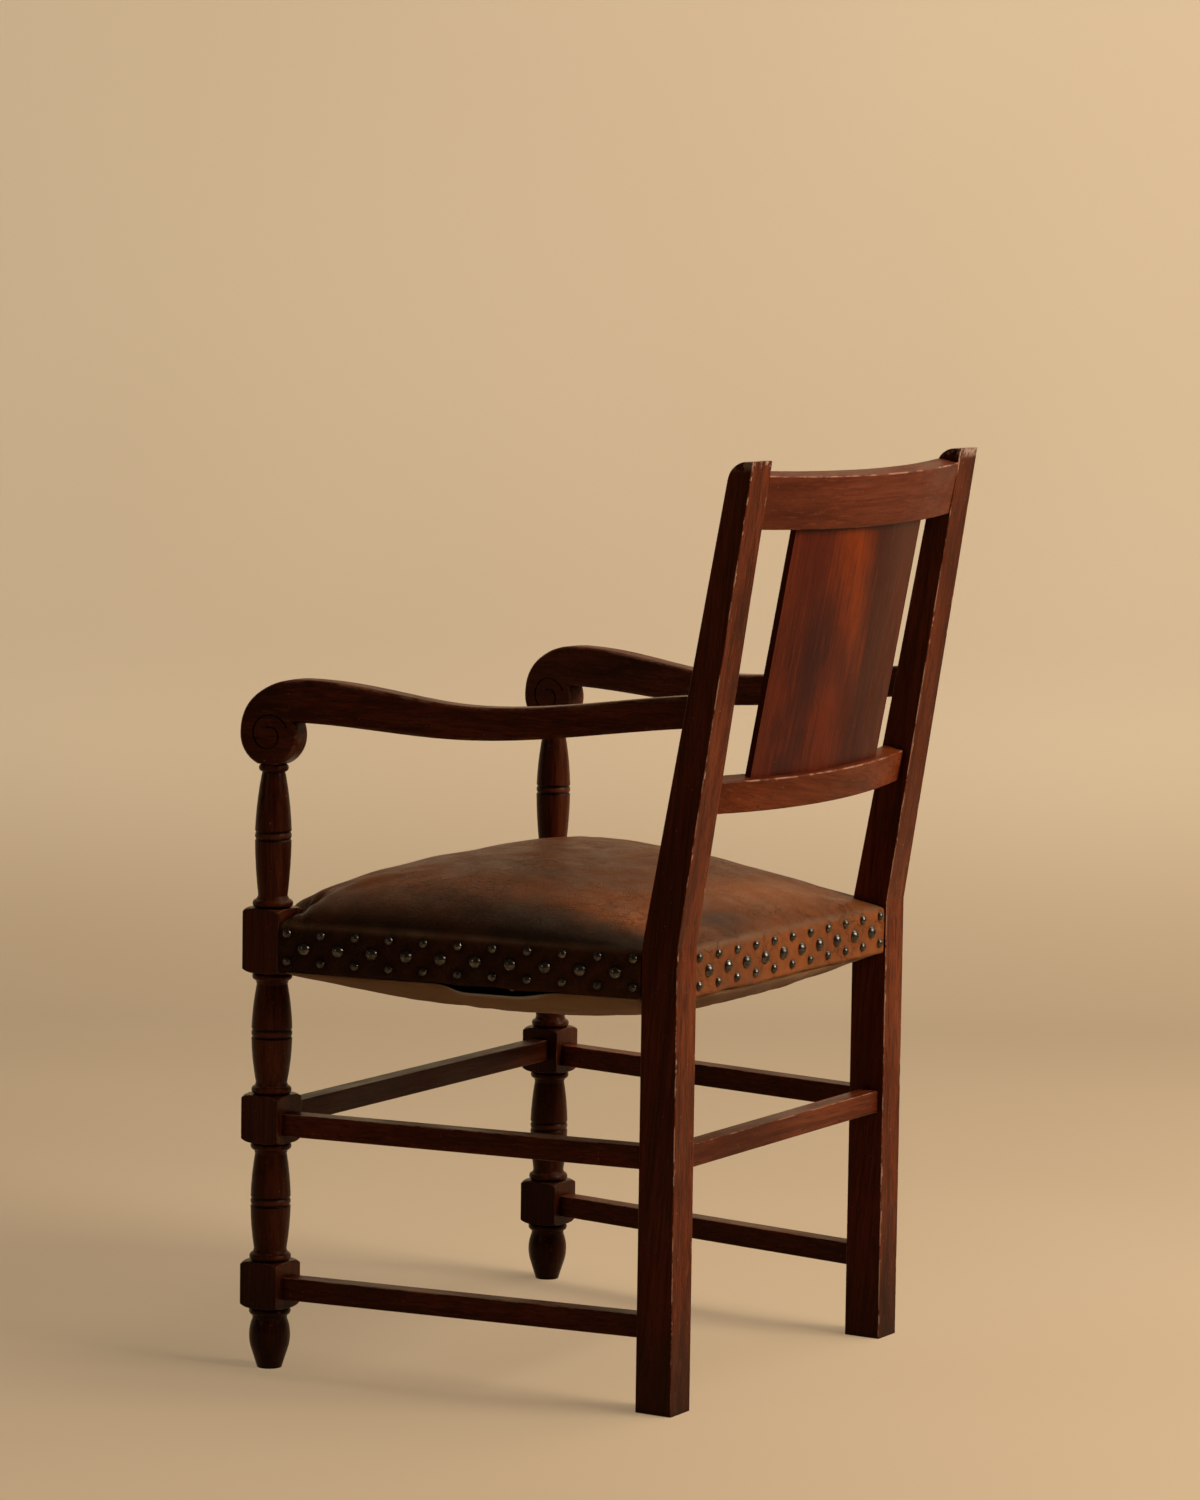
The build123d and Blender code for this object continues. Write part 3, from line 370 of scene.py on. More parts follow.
arm_left_wood = wood(
    "arm_left_wood", (quarter, 0, -arm_angle), frame_tones, across_left_arm, 0.31, rub=0.25
)
arm_right_wood = wood(
    "arm_right_wood", (quarter, 0, arm_angle), grey_tones, across_right_arm, 0.31, rub=0.25
)
side_left_wood = wood("side_left_wood", (quarter, 0, -side_angle), frame_tones, up, rub=0.45)
side_right_wood = wood(
    "side_right_wood", (quarter, 0, side_angle), frame_tones, up, shift=(0, 0, 0.3), rub=0.45
)
along_x = (0, quarter, 0)
cross_wood = wood("cross_wood", along_x, frame_tones, up, shift=(0.2, 0, 0), rub=0.45)
# The front stretcher uses the darker turned tones as painted shade for the shadow it stands in
front_wood_in_painted_shade = wood("front_wood_in_painted_shade", along_x, turned_tones, up, shift=(0.2, 0, 0), rub=0.3)
crest_wood = wood(
    "crest_wood", along_x, rail_tones, up_rake, gloss=0.42, fleck=0.25, lines=0.3, rub=0.6
)
lower_wood = wood(
    "lower_rail_wood", (0, quarter + 0.16, 0.1), gold_tones, up_rake,
    gloss=0.42, fleck=0.4, lines=0.4, rub=0.6,
)
bare_wood = wood("bare_wood", along_x, bare_tones, up, gloss=0.62)
splat_width = 0.252


def splat_wood():
    """Flame figured panel, orange down the middle and dark beside it."""
    finish = Finish("flame_wood")
    turn = (rake, 0, 0)
    parts = finish.node("ShaderNodeSeparateXYZ")
    finish.put(parts.inputs[0], finish.place())
    streak = finish.cloud(finish.place((210, 210, 5), turn), detail=5, rough=0.62)
    grain = finish.cloud(finish.place((430, 430, 13), turn), detail=4, rough=0.6)
    drift = finish.cloud(finish.place((6, 6, 9), turn, (0.1, 0, 0.3)), detail=3, rough=0.55)
    share = finish.maths("MULTIPLY_ADD", parts.outputs["X"], -1 / splat_width)
    share.node.inputs[2].default_value = 0.5
    share = finish.stray(share, drift, 0.26)
    share = finish.stray(share, streak, 0.22)
    height = parts.outputs["Z"]
    share = finish.maths("ADD", share, finish.span(height, 0.70, 0.84, 0.03, 0.15))
    panel = finish.ramp(
        share,
        (0.00, (0.080, 0.0110, 0.0034)),
        (0.12, (0.118, 0.0155, 0.0040)),
        (0.30, (0.084, 0.0102, 0.0040)),
        (0.44, (0.104, 0.0125, 0.0038)),
        (0.58, (0.086, 0.0110, 0.0038)),
        (0.72, (0.042, 0.0056, 0.0026)),
        (0.86, (0.052, 0.0078, 0.0030)),
        (1.00, (0.076, 0.0145, 0.0052)),
    )
    blots = finish.cloud(finish.place((17, 17, 7), turn, (0.4, 0, 0.2)), detail=4, rough=0.6)
    low_part = finish.maths("MULTIPLY", finish.span(height, 0.82, 0.68, 0.3, 1.0), 0.7)
    blotted = finish.maths("MULTIPLY", finish.span(blots, 0.44, 0.62), low_part)
    panel = finish.mix(blotted, panel, (0.036, 0.0060, 0.0040))
    dusk = finish.maths("MULTIPLY", finish.span(share, 0.08, 0.20), finish.span(share, 0.48, 0.34))
    dusk = finish.maths("MULTIPLY", dusk, finish.span(height, 0.80, 0.71))
    clouds = finish.cloud(finish.place((24, 24, 11), turn, (0.9, 0, 0.6)), detail=4, rough=0.6)
    dusk = finish.maths("MULTIPLY", dusk, finish.span(clouds, 0.38, 0.60, 0.15, 0.8))
    panel = finish.mix(dusk, panel, (0.030, 0.0050, 0.0046))
    flame = finish.maths("MULTIPLY", finish.span(share, 0.36, 0.52), finish.span(share, 0.76, 0.56))
    flame = finish.maths("MULTIPLY", flame, finish.span(height, 0.62, 0.80, 0.15, 1.0))
    flame = finish.maths("MULTIPLY", flame, finish.span(blots, 0.66, 0.42, 0.25, 1.0))
    panel = finish.mix(flame, panel, (0.215, 0.0300, 0.0030))
    panel = finish.mix(finish.span(grain, 0.53, 0.66, 0.0, 0.55), panel, (0.034, 0.0058, 0.0028))
    panel = finish.mix(finish.span(grain, 0.46, 0.34, 0.0, 0.30), panel, (0.190, 0.0330, 0.0070))
    pores = finish.cloud(finish.place((650, 650, 40), turn), detail=2, rough=0.5)
    pore_mask = finish.span(pores, 0.58, 0.68)
    panel = finish.mix(finish.maths("MULTIPLY", pore_mask, 0.4), panel, (0.018, 0.0045, 0.003))
    specks = finish.span(finish.cloud(finish.place((420, 420, 420)), detail=2), 0.73, 0.76)
    panel = finish.mix(finish.maths("MULTIPLY", specks, 0.3), panel, (0.34, 0.18, 0.11))
    smears = finish.cloud(finish.place((14, 14, 8), turn), detail=5, rough=0.6)
    finish.set(
        Base_Color=panel,
        Roughness=finish.span(smears, 0.3, 0.7, 0.28, 0.44),
        Normal=finish.bump(finish.maths("SUBTRACT", grain, pore_mask), 0.2, 0.0003),
        Specular_IOR_Level=0.08,
        Specular_Tint=(1.0, 0.55, 0.32),
        Coat_Weight=0.02,
        Coat_Roughness=0.15,
    )
    return finish.material


def leather_finish():
    """Old polished hide: dark at the bands and darker still on the sides with painted shade, rubbed
    orange on the crown, creased, with a painted sheen on top.
    """
    finish = Finish("old_leather")
    plain = finish.place()
    wear_and_side_shade = finish.attribute("wear_and_side_shade")
    soil_and_side_shade = finish.attribute("soil_and_side_shade")
    ridge_and_top_sheen = finish.attribute("ridge_and_top_sheen")
    chill = finish.attribute("chill")
    patches = finish.cloud(finish.place((15, 15, 15)), detail=5, rough=0.6, distort=0.4)
    mottle = finish.cloud(finish.place((70, 70, 70)), detail=6, rough=0.65)
    level = finish.stray(wear_and_side_shade, patches, 0.45)
    level = finish.stray(level, mottle, 0.55)
    hide = finish.ramp(
        level,
        (0.05, (0.018, 0.0048, 0.0014)),
        (0.30, (0.050, 0.0134, 0.0036)),
        (0.52, (0.120, 0.0335, 0.0088)),
        (0.72, (0.212, 0.0550, 0.0140)),
        (0.95, (0.335, 0.0890, 0.0200)),
    )
    dull = finish.cloud(finish.place((24, 24, 24), shift=(0.3, 0.2, 0.1)), detail=4)
    hide = finish.mix(finish.span(dull, 0.5, 0.72, 0.0, 0.25), hide, (0.085, 0.034, 0.014))
    hide = finish.mix(chill, hide, (0.034, 0.0215, 0.0190))
    # Soil near the nails and low on the crown, with painted shade on the sides of the seat
    hide = finish.mix(finish.maths("MULTIPLY", soil_and_side_shade, 0.85), hide, (0.0105, 0.0028, 0.0008))
    grain_edge = finish.cells(plain, 640)
    pits = finish.span(grain_edge, 0.0, 0.16)
    folds = finish.place((46, 70, 50))
    bend = finish.node("ShaderNodeVectorMath", operation="ADD")
    finish.put(bend.inputs[0], folds)
    warp = finish.node("ShaderNodeTexNoise")
    finish.put(warp.inputs["Vector"], finish.place((30, 30, 30)))
    warp.inputs["Detail"].default_value = 4
    finish.put(bend.inputs[1], warp.outputs["Color"])
    crease_lines = finish.span(finish.cells(bend.outputs["Vector"], 1.0), 0.0, 0.045)
    crease_patches = finish.cloud(finish.place((9, 9, 9), shift=(0.1, 0.5, 0)), detail=3)
    crease_area = finish.span(crease_patches, 0.42, 0.58)
    fine_lines = finish.span(finish.cells(finish.place((180, 120, 150)), 1.0), 0.0, 0.07)
    creased = finish.maths("MULTIPLY", finish.maths("SUBTRACT", 1.0, crease_lines), crease_area)
    hide = finish.mix(finish.maths("MULTIPLY", creased, 0.5), hide, (0.013, 0.0045, 0.0022))
    # Pale ridge line along the band tops, and painted sheen on the top of the crown
    hide = finish.mix(finish.maths("MULTIPLY", ridge_and_top_sheen, 0.8), hide, (0.225, 0.112, 0.055))
    scratches = finish.cloud(finish.place((240, 90, 240)), detail=5, rough=0.7)
    scuffs = finish.span(scratches, 0.66, 0.74)
    hide = finish.mix(finish.maths("MULTIPLY", scuffs, 0.25), hide, (0.23, 0.125, 0.068))
    smears = finish.cloud(finish.place((30, 30, 30)), detail=5, rough=0.6)
    rough = finish.span(smears, 0.3, 0.7, 0.25, 0.40)
    rough = finish.maths("ADD", rough, finish.maths("MULTIPLY", wear_and_side_shade, 0.06))
    height = finish.maths("MULTIPLY", pits, 0.30)
    height = finish.maths("SUBTRACT", height, finish.maths("MULTIPLY", creased, 0.8))
    height = finish.maths("ADD", height, finish.maths("MULTIPLY", fine_lines, 0.22))
    height = finish.maths("ADD", height, finish.maths("MULTIPLY", mottle, 0.6))
    finish.set(
        Base_Color=hide,
        Roughness=rough,
        Normal=finish.bump(height, 0.9, 0.0014),
        Specular_IOR_Level=0.10,
        Specular_Tint=(1.0, 0.60, 0.36),
        Sheen_Weight=0.03,
        Sheen_Roughness=0.35,
        Sheen_Tint=(0.9, 0.64, 0.44),
    )
    return finish.material


def nail_finish():
    """Aged bronze, darker in the pits and rubbed bright on the domes."""
    finish = Finish("aged_bronze")
    tarnish = finish.cloud(finish.place((190, 190, 190)), detail=5, rough=0.65)
    metal = finish.ramp(
        tarnish,
        (0.30, (0.022, 0.016, 0.011)),
        (0.55, (0.085, 0.069, 0.053)),
        (0.78, (0.24, 0.205, 0.16)),
    )
    hollow_darkening = finish.span(finish.hollows(0.004), 0.2, 0.8)
    metal = finish.mix(hollow_darkening, (0.018, 0.012, 0.009), metal)
    dents = finish.cloud(finish.place((420, 420, 420)), detail=3)
    finish.set(
        Base_Color=metal,
        Metallic=0.9,
        Roughness=finish.span(tarnish, 0.3, 0.75, 0.34, 0.18),
        Normal=finish.bump(dents, 0.12, 0.0004),
    )
    return finish.material


def weave_finish(name, pitch, low, high, stain, frayed=False):
    """Plain woven cloth with threads a pitch apart, paler along a frayed rim."""
    finish = Finish(name)
    turns = 2 * math.pi / pitch
    wobble = finish.cloud(finish.place((60, 60, 60)), detail=3)
    parts = finish.node("ShaderNodeSeparateXYZ")
    finish.put(parts.inputs[0], finish.place((turns, turns, turns)))
    sway = finish.maths("MULTIPLY", wobble, 5.0)
    warp = finish.maths("SINE", finish.maths("ADD", parts.outputs["X"], sway))
    weft = finish.maths("SINE", finish.maths("ADD", parts.outputs["Y"], sway))
    threads = finish.maths("MULTIPLY_ADD", finish.maths("MULTIPLY", warp, weft), 0.5)
    threads.node.inputs[2].default_value = 0.5
    uneven = finish.cloud(finish.place((320, 320, 320)), detail=4)
    cloth = finish.mix(finish.maths("MULTIPLY", threads, uneven), low, high)
    blots = finish.cloud(finish.place((11, 11, 11), shift=(0.2, 0.7, 0)), detail=5, rough=0.62)
    cloth = finish.mix(finish.span(blots, 0.45, 0.68, 0.0, 0.6), cloth, stain)
    if frayed:
        cloth = finish.mix(finish.attribute("rim"), cloth, (0.80, 0.64, 0.43))
    finish.set(
        Base_Color=cloth,
        Roughness=finish.span(uneven, 0.3, 0.7, 0.82, 0.95),
        Normal=finish.bump(threads, 0.55, 0.0007),
        Sheen_Weight=0.15,
        Sheen_Roughness=0.6,
    )
    return finish.material


def steel_finish(name, low, high, rough):
    """Plain steel, lightly rusted."""
    finish = Finish(name)
    rust = finish.cloud(finish.place((130, 130, 130)), detail=6, rough=0.66)
    metal = finish.mix(finish.span(rust, 0.4, 0.62), low, high)
    metal = finish.mix(finish.span(rust, 0.62, 0.72, 0.0, 0.7), metal, (0.12, 0.05, 0.02))
    finish.set(
        Base_Color=metal,
        Metallic=0.85,
        Roughness=finish.span(rust, 0.3, 0.7, rough, rough + 0.25),
    )
    return finish.material


finishes = {
    "rear_leg_left": upright,
    "rear_leg_right": upright,
    "front_leg_left": turned,
    "front_leg_right": turned,
    "arm_left": arm_left_wood,
    "arm_right": arm_right_wood,
    "crest_rail": crest_wood,
    "lower_back_rail": lower_wood,
    "back_splat": splat_wood(),
    "front_stretcher": front_wood_in_painted_shade,
    "rear_stretcher": cross_wood,
    "upper_side_stretcher_left": side_left_wood,
    "upper_side_stretcher_right": side_right_wood,
    "lower_side_stretcher_left": side_left_wood,
    "lower_side_stretcher_right": side_right_wood,
    "front_seat_rail": bare_wood,
    "rear_seat_rail": bare_wood,
    "side_seat_rail_left": bare_wood,
    "side_seat_rail_right": bare_wood,
    "corner_blocks": bare_wood,
    "corner_screws": steel_finish("screw_steel", (0.20, 0.19, 0.18), (0.36, 0.35, 0.34), 0.35),
    "large_nails": nail_finish(),
    "seat_stuffing": weave_finish(
        "matted_fibre", 0.0035, (0.20, 0.14, 0.08), (0.40, 0.30, 0.18), (0.16, 0.10, 0.05)
    ),
    "spring_hessian": weave_finish(
        "hessian", 0.0026, (0.24, 0.17, 0.09), (0.46, 0.35, 0.21), (0.20, 0.13, 0.07)
    ),
    "seat_springs": steel_finish("spring_steel", (0.26, 0.25, 0.25), (0.42, 0.41, 0.41), 0.3),
    "webbing_front_to_back": weave_finish(
        "strap_web", 0.0018, (0.26, 0.20, 0.13), (0.46, 0.38, 0.26), (0.2, 0.15, 0.09)
    ),
}
finishes["small_nails"] = finishes["large_nails"]
finishes["canvas_tacks"] = finishes["corner_screws"]
finishes["webbing_side_to_side"] = finishes["webbing_front_to_back"]
for name, finish in finishes.items():
    for slot in nodes[name].material_slots:
        slot.material = finish

# Leather seat: a cut hide over the crown and down the four bands, with its corners out for the legs
clear = 0.0007
across_bands = 7
across_flaps = 7
across_middle = 80
back_flaps = 7
back_middle = 62
across = across_middle + 2 * (across_flaps + across_bands)
along = back_middle + 2 * (back_flaps + across_bands)


def crown(x, y, rise):
    """Height of the stuffed crown above the bands, tucked down beside the front blocks."""
    middle = front_y + 0.365 * (rear_y - front_y)
    reach = (middle - front_y) if y < middle else (rear_y - middle)
    v = min(1.0, abs(y - middle) / reach)
    u = min(1.0, abs(x) / side_x(y))
    bulge = max(0.0, 1 - u**3.4) ** 0.544
    slope = 1 - v ** (3.3 if y < middle else 1.76)
    by_block = math.hypot(max(0.0, block_inner - abs(x)), max(0.0, y - block_rear))
    tuck = 0.35 + 0.65 * smooth(0.0, 0.030, by_block)
    return rise * tuck * bulge * slope


def notch_x(y):
    """Where the flaps begin at a station, in line with the inner faces of the legs."""
    share = (y - block_rear) / (leg_front - block_rear)
    return block_inner - clear + share * (leg_inner - block_inner)


def hide_place(column, row, rise):
    """Place of one point of the hide, from its column and row."""
    half = across / 2
    out = abs(column - half)
    hand = 1 if column >= half else -1
    drop_x = max(0.0, out - across_middle / 2 - across_flaps) / across_bands
    flap_x = min(1.0, max(0.0, out - across_middle / 2) / across_flaps)
    drop_y = max(0.0, across_bands - row, row - (along - across_bands)) / across_bands
    step = min(max(row - across_bands, 0), along - 2 * across_bands)
    if step <= back_flaps:
        y = front_y + (block_rear + clear - front_y) * step / back_flaps
    elif step <= back_flaps + back_middle:
        share = (step - back_flaps) / back_middle
        y = block_rear + clear + (leg_front - block_rear - 2 * clear) * share
    else:
        share = (step - back_flaps - back_middle) / back_flaps
        y = leg_front - clear + (rear_y - leg_front + clear) * share
    inner = notch_x(min(max(y, block_rear), leg_front))
    x = inner * min(1.0, out / (across_middle / 2)) + (side_x(y) - inner) * flap_x
    drop = max(drop_x, drop_y)
    z = band_top - drop * (band_top - band_bottom) if drop > 0 else band_top + crown(x, y, rise)
    return Vector((hand * x, y, z))


def cut_hide(rise):
    """The hide as a grid laid over the crown and bands, with the corners cut away."""
    deselect()
    bpy.ops.mesh.primitive_grid_add(x_subdivisions=across, y_subdivisions=along, size=2)
    hide = bpy.context.object
    hide.name = "seat_leather"
    corner = []
    for vertex in hide.data.vertices:
        column = round((vertex.co.x + 1) / 2 * across)
        row = round((vertex.co.y + 1) / 2 * along)
        in_x = abs(column - across / 2) - across_middle / 2
        in_y = max(across_bands + back_flaps - row, row - (along - across_bands - back_flaps))
        corner.append(in_x > 0 and in_y > 0)
        vertex.co = hide_place(column, row, rise)
    delete_points(hide, corner)
    return hide


def nail_centres(name):
    """Middle of each nail of a node, from the loose pieces of its mesh."""
    deselect()
    nodes[name].select_set(True)
    bpy.context.view_layer.objects.active = nodes[name]
    bpy.ops.object.duplicate()
    copy = bpy.context.object
    bpy.ops.object.mode_set(mode="EDIT")
    bpy.ops.mesh.select_all(action="SELECT")
    bpy.ops.mesh.remove_doubles(threshold=0.00005)
    bpy.ops.object.mode_set(mode="OBJECT")
    bpy.ops.mesh.separate(type="LOOSE")
    singles = list(bpy.context.selected_objects)
    centres = []
    for single in singles:
        points = [vertex.co for vertex in single.data.vertices]
        centres.append(sum(points, Vector()) / len(points))
    for single in singles:
        bpy.data.objects.remove(single)
    return centres


nail_points = nail_centres("large_nails") + nail_centres("small_nails")


def nearest_nail(point):
    """Distance from a point to the middle of the nearest nail."""
    return min((point - nail).length for nail in nail_points)


crown_rise = 0.0550
cloth_frames = 20
grip_reach = 0.004
band_grip = 0.92
hide = cut_hide(crown_rise)
start = [vertex.co.copy() for vertex in hide.data.vertices]
held = hide.vertex_groups.new(name="held")
for vertex in hide.data.vertices:
    edge = vertex.co.z < band_bottom + 0.001
    band = vertex.co.z < band_top - 0.003
    by_block = abs(vertex.co.x) > block_inner - grip_reach and vertex.co.y < block_rear + grip_reach
    by_leg = abs(vertex.co.x) > leg_inner - grip_reach and vertex.co.y > leg_front - grip_reach
    grip = 1.0 if edge else (band_grip if band or by_block or by_leg else 0.0)
    if grip:
        held.add([vertex.index], grip, "REPLACE")
cloth = hide.modifiers.new("tension", "CLOTH")
cloth.settings.quality = 6
cloth.settings.mass = 0.6
cloth.settings.tension_stiffness = 30
cloth.settings.compression_stiffness = 18
cloth.settings.shear_stiffness = 12
cloth.settings.bending_stiffness = 2
cloth.settings.use_pressure = True
cloth.settings.uniform_pressure_force = 2
cloth.settings.vertex_group_mass = "held"
cloth.settings.effector_weights.gravity = 0
cloth.point_cache.frame_end = cloth_frames
for step in range(1, cloth_frames + 1):
    scene.frame_set(step)
apply_all(hide)
scene.frame_set(1)
most_moved = 0.022
for vertex, before in zip(hide.data.vertices, start):
    moved = vertex.co - before
    if moved.length > most_moved:
        vertex.co = before + moved * (most_moved / moved.length)

finer = hide.modifiers.new("finer", "SUBSURF")
finer.levels = 1
finer.render_levels = 1
apply_all(hide)
bpy.context.view_layer.update()
normals = [vertex.normal.copy() for vertex in hide.data.vertices]
# Rubbed, darkened and greyed places on the crown: x, y, reach across, reach along, share
rubs = (
    (0.140, 0.075, 0.040, 0.052, 0.42),
    (0.205, -0.130, 0.042, 0.062, 0.08),
    (-0.055, 0.105, 0.080, 0.045, 0.26),
    (-0.155, -0.060, 0.050, 0.080, 0.24),
    (0.020, -0.190, 0.110, 0.032, 0.20),
    (0.222, 0.030, 0.032, 0.120, -0.30),
    (-0.225, -0.030, 0.030, 0.120, -0.20),
    (0.000, -0.050, 0.130, 0.090, 0.20),
    (-0.130, 0.140, 0.080, 0.040, 0.20),
)
chills = (
    (0.088, 0.153, 0.040, 0.024, 0.75),
    (0.120, 0.182, 0.060, 0.012, 0.45),
    (-0.160, 0.110, 0.018, 0.03, 0.3),
)
marked_height = 0.058
ridge_reach = 0.0026
nail_stain_reach = 0.0072
nail_dent = 0.0016
nail_dent_reach = 0.0075
ripple = 0.0011
gather_height = 0.0014
gather_reach = 0.028
edge_wave = 0.0016


def blots(place, marks):
    """Sum of soft marks at a place on the crown."""
    return sum(
        share * math.exp(-(((place.x - x) / reach_x) ** 2) - ((place.y - y) / reach_y) ** 2)
        for x, y, reach_x, reach_y, share in marks
    )


wear_and_side_shade_values = []
soil_and_side_shade_values = []
ridge_and_top_sheen_values = []
chill_values = []
for vertex, normal in zip(hide.data.vertices, normals):
    place = vertex.co.copy()
    u = abs(place.x) / side_x(place.y)
    on_band = 1 - smooth(band_top - 0.004, band_top + 0.004, place.z)
    rise = (place.z - band_top) / marked_height
    drift = noise.noise(place * 7.0)
    facing_side = smooth(0.4, 0.8, abs(normal.x))
    # Wear level: rubbed and soiled leather. The side slopes and side bands are made darker, partly
    # darker leather and partly painted shade on those sides.
    worn = 0.73 + blots(place, rubs) + 0.16 * drift - 0.24 * smooth(0.72, 0.95, u)
    wear_and_side_shade_values.append(worn * (1 - on_band) + (0.90 - 0.58 * facing_side + 0.2 * drift) * on_band)
    chilled = blots(place, chills) * (1.0 + 0.5 * noise.noise(place * 22.0))
    chill_values.append(min(1.0, chilled * (1 - 0.5 * on_band)))
    ridge_line = math.exp(-(((place.z - band_top - 0.001) / ridge_reach) ** 2))
    ridge_and_top_sheen = ridge_line * (0.65 + 0.8 * max(0.0, noise.noise(place * 30.0)))
    # Painted sheen: the highest part of the crown is made paler, as if catching light
    painted_top_sheen = 0.62 * smooth(0.78, 0.99, rise) * smooth(-0.5, 0.4, noise.noise(place * 14.0))
    ridge_and_top_sheen_values.append(min(1.0, ridge_and_top_sheen + painted_top_sheen))
    soil_and_side_shade = 0.0
    if place.z < band_top + 0.01:
        away = nearest_nail(place)
        # Soil round the nails, strongest on the side bands, where it is partly painted shade
        soil_and_side_shade = math.exp(-((away / nail_stain_reach) ** 2)) * (0.15 + 0.85 * facing_side)
        vertex.co -= normal * nail_dent * math.exp(-((away / nail_dent_reach) ** 2))
    # Darker low on the crown, most where it faces sideways: grime, and painted shade on the sides
    low_crown = smooth(0.62, 0.08, rise) * (1 - on_band)
    low_crown *= 0.30 + 0.70 * smooth(0.25, 0.6, abs(normal.x))
    grime_and_side_shade = 1.05 * low_crown * smooth(-0.9, 0.1, noise.noise(place * 9.0))
    soil_and_side_shade_values.append(min(1.0, soil_and_side_shade * 0.7 + grime_and_side_shade))
    vertex.co += normal * ripple * noise.noise(place * 26.0) * (1 - 0.6 * on_band)
    inward = block_inner - abs(place.x)
    backward = place.y - block_rear
    from_block = math.hypot(max(0.0, inward), max(0.0, backward))
    gathered = math.exp(-((from_block / gather_reach) ** 2)) * smooth(0.002, 0.010, from_block)
    fold = math.sin(9 * math.atan2(backward, inward) + 1)
    vertex.co += normal * gather_height * fold * gathered * (1 - on_band)
    near_edge = smooth(band_bottom + 0.012, band_bottom, place.z)
    vertex.co.z += edge_wave * noise.noise(place * 34.0) * near_edge
layers = {
    "wear_and_side_shade": wear_and_side_shade_values,
    "soil_and_side_shade": soil_and_side_shade_values,
    "ridge_and_top_sheen": ridge_and_top_sheen_values,
    "chill": chill_values,
}
for layer_name, values in layers.items():
    hide.data.attributes.new(layer_name, "FLOAT", "POINT").data.foreach_set("value", values)
thick = hide.modifiers.new("hide_thickness", "SOLIDIFY")
thick.thickness = 0.0018
thick.offset = -1
apply_all(hide)
shade(hide)
hide.data.materials.append(leather_finish())
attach(hide, "root")
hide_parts("leather_cover", "seat_stuffing")

# Bottom canvas: a sagging sheet tacked inside the lower edge of the leather
canvas_low, canvas_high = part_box("bottom_canvas")
canvas_inset = 0.0065
canvas_sag = 0.0455
canvas_drop = 0.0012
loose_drop = 0.0060
loose_out = 0.0035
corner_gap = 0.001


def canvas_place(u, v):
    """Place of a point of the canvas, from shares across and along."""
    y = canvas_low.y + (canvas_high.y - canvas_low.y) * (v + 1) / 2
    x = u * (side_x(y) - canvas_inset)
    bowl = max(0.0, (1 - abs(u) ** 2.6) * (1 - abs(v) ** 2.6)) ** 0.8
    lumps = 0.0025 * noise.noise(Vector((x * 16, y * 16, 0.3)))
    lumps += 0.0016 * noise.noise(Vector((x * 40, y * 40, 0.8)))
    loose = smooth(-0.062, -0.030, y) * smooth(0.066, 0.020, y) * smooth(0.88, 1.0, u)
    sunk = canvas_sag * bowl - lumps * min(1.0, 3 * bowl) + loose_drop * loose
    return Vector((x + loose_out * loose, y, canvas_high.z - canvas_drop - sunk))


deselect()
bpy.ops.mesh.primitive_grid_add(x_subdivisions=92, y_subdivisions=76, size=2)
canvas = bpy.context.object
canvas.name = "bottom_canvas_sheet"
corner = []
for vertex in canvas.data.vertices:
    vertex.co = canvas_place(vertex.co.x, vertex.co.y)
    place = vertex.co
    by_block = abs(place.x) > block_inner - corner_gap and place.y < block_rear + corner_gap
    by_leg = abs(place.x) > leg_inner - corner_gap and place.y > leg_front - corner_gap
    corner.append(by_block or by_leg)
delete_points(canvas, corner)
rim_values = []
for vertex in canvas.data.vertices:
    inside = side_x(vertex.co.y) - abs(vertex.co.x)
    frayed = 0.35 + 0.6 * smooth(-0.2, 0.4, noise.noise(vertex.co * 45.0))
    rim = smooth(0.0085, 0.0035, inside) * frayed
    rim_values.append(min(1.0, rim + 0.7 * smooth(0.0060, 0.0040, inside)))
canvas.data.attributes.new("rim", "FLOAT", "POINT").data.foreach_set("value", rim_values)
thin = canvas.modifiers.new("cloth_thickness", "SOLIDIFY")
thin.thickness = 0.0009
thin.offset = 0
apply_all(canvas)
shade(canvas)
canvas_tones = ((0.30, 0.118, 0.017), (0.68, 0.315, 0.055), (0.21, 0.080, 0.012))
canvas.data.materials.append(weave_finish("old_canvas", 0.0019, *canvas_tones, frayed=True))
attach(canvas, "root")
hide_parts("bottom_canvas")

# Floor and backdrop, one pale sweep behind the chair as the camera sees it
view = Vector((-0.8537, -0.5111, -0.1015))
floor_reach = 16
wall_distance = 2.6
wall_height = 5
deselect()
bpy.ops.mesh.primitive_plane_add(size=2)
sweep = bpy.context.object
sweep.name = "floor_sweep"
away = Vector((view.x, view.y, 0)).normalized()
beside = Vector((-away.y, away.x, 0)) * floor_reach
near = away * -floor_reach
far = away * wall_distance
corners = [near + beside, near - beside, far + beside, far - beside]
for vertex, corner_place in zip(sweep.data.vertices, corners):
    vertex.co = corner_place
bpy.ops.object.mode_set(mode="EDIT")
bpy.ops.mesh.select_mode(type="EDGE")
bpy.ops.mesh.select_all(action="DESELECT")
bpy.ops.object.mode_set(mode="OBJECT")
for edge in sweep.data.edges:
    ends = [sweep.data.vertices[index].co for index in edge.vertices]
    edge.select = all(end.dot(away) > 0 for end in ends)
bpy.ops.object.mode_set(mode="EDIT")
bpy.ops.mesh.extrude_edges_move()
bpy.ops.transform.translate(value=(0, 0, wall_height))
bpy.ops.object.mode_set(mode="OBJECT")
curve = sweep.modifiers.new("sweep", "BEVEL")
curve.width = 0.5
curve.segments = 16
curve.limit_method = "ANGLE"
apply_all(sweep)
shade(sweep)
backdrop = Finish("pale_sweep")
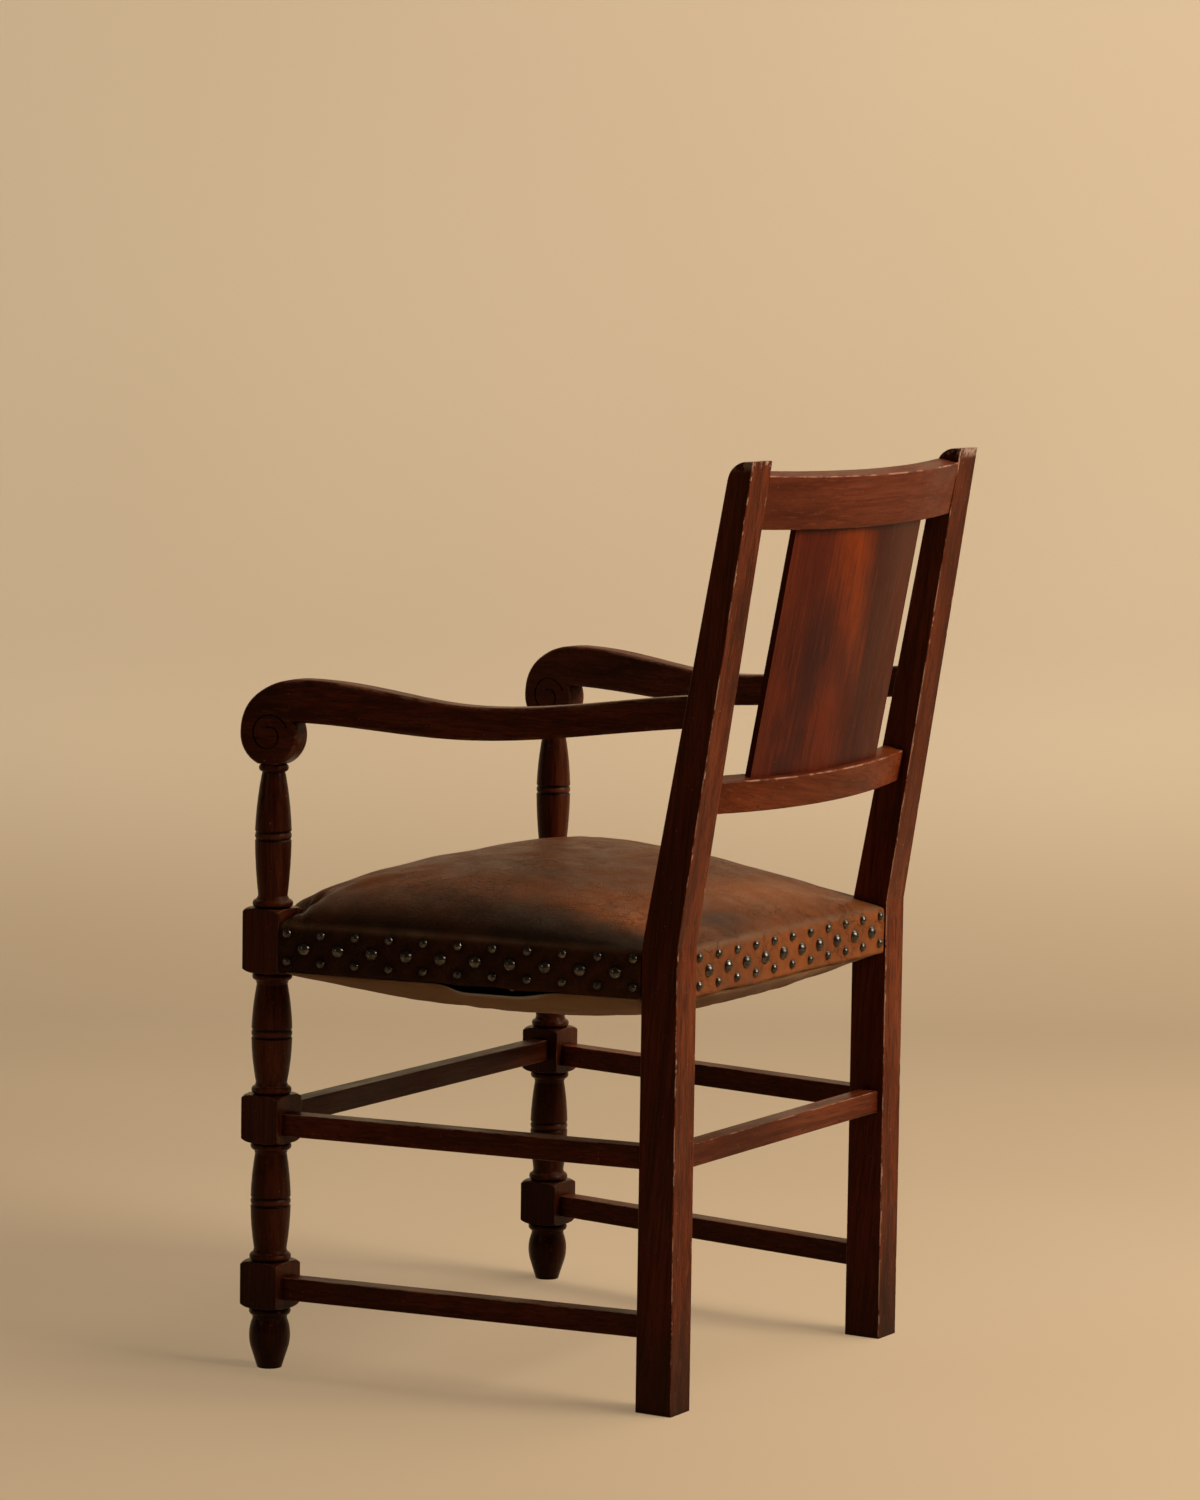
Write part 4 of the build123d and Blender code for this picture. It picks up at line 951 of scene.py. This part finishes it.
tint = backdrop.cloud(backdrop.place((0.7, 0.7, 0.7)), detail=2)
path = backdrop.node("ShaderNodeLightPath")
seen = backdrop.maths("ADD", path.outputs["Is Camera Ray"], path.outputs["Is Glossy Ray"])
seen = backdrop.maths("ADD", seen, path.outputs["Is Transmission Ray"])
pale = backdrop.mix(backdrop.span(tint, 0.3, 0.7), (0.55, 0.408, 0.255), (0.58, 0.437, 0.278))
facing = backdrop.node("ShaderNodeSeparateXYZ")
backdrop.put(facing.inputs[0], backdrop.node("ShaderNodeNewGeometry").outputs["Normal"])
level = backdrop.span(facing.outputs["Z"], 0.2, 0.95)
pale = backdrop.mix(level, pale, backdrop.mix(1.0, pale, (0.76, 0.73, 0.70), "MULTIPLY"))
backdrop.set(
    Base_Color=backdrop.mix(seen, (0.20, 0.15, 0.10), pale),
    Roughness=0.85,
    Specular_IOR_Level=0.1,
    Emission_Color=pale,
    Emission_Strength=backdrop.maths("MULTIPLY", seen, 0.60),
)
sweep.data.materials.append(backdrop.material)


# Soft light from the right of the picture and from above, with a weak fill from the left
def softbox(name, place, target, size, energy, colour):
    """Square area lamp turned towards a point."""
    deselect()
    bpy.ops.object.light_add(type="AREA", location=place)
    lamp = bpy.context.object
    lamp.name = name
    lamp.data.shape = "SQUARE"
    lamp.data.size = size
    lamp.data.energy = energy
    lamp.data.color = colour
    lamp.rotation_euler = (Vector(target) - Vector(place)).to_track_quat("-Z", "Y").to_euler()
    return lamp


softbox("key", (-0.5, 2.9, 2.2), (0, 0, 0.5), 1.7, 112, (1.0, 0.93, 0.83))
softbox("fill", (3.6, -1.6, 1.7), (0, 0, 0.45), 1.0, 5, (1.0, 0.94, 0.86))
softbox("top", (-1.5, 1.0, 2.9), (0, 0, 0.4), 2.0, 34, (1.0, 0.95, 0.88))
world = bpy.data.worlds.new("room")
scene.world = world
world.use_nodes = True
sky = world.node_tree.nodes["Background"]
sky.inputs["Color"].default_value = (1.0, 0.79, 0.55, 1.0)
sky.inputs["Strength"].default_value = 0.05

# Camera at the photograph's place
forward = view.normalized()
right = forward.cross(Vector((0, 0, 1))).normalized()
upward = right.cross(forward)
roll = math.radians(0.809)
rolled_right = right * math.cos(roll) + upward * math.sin(roll)
rolled_up = upward * math.cos(roll) - right * math.sin(roll)
camera_place = (4.3321, 2.5592, 1.1132)
deselect()
bpy.ops.object.camera_add()
camera = bpy.context.object
camera.name = "camera"
turn = Matrix((rolled_right, rolled_up, -forward)).transposed()
camera.matrix_world = Matrix.Translation(camera_place) @ turn.to_4x4()
camera.data.sensor_fit = "VERTICAL"
camera.data.sensor_height = 36
camera.data.lens = 123.38
scene.camera = camera
scene.view_settings.view_transform = "Standard"
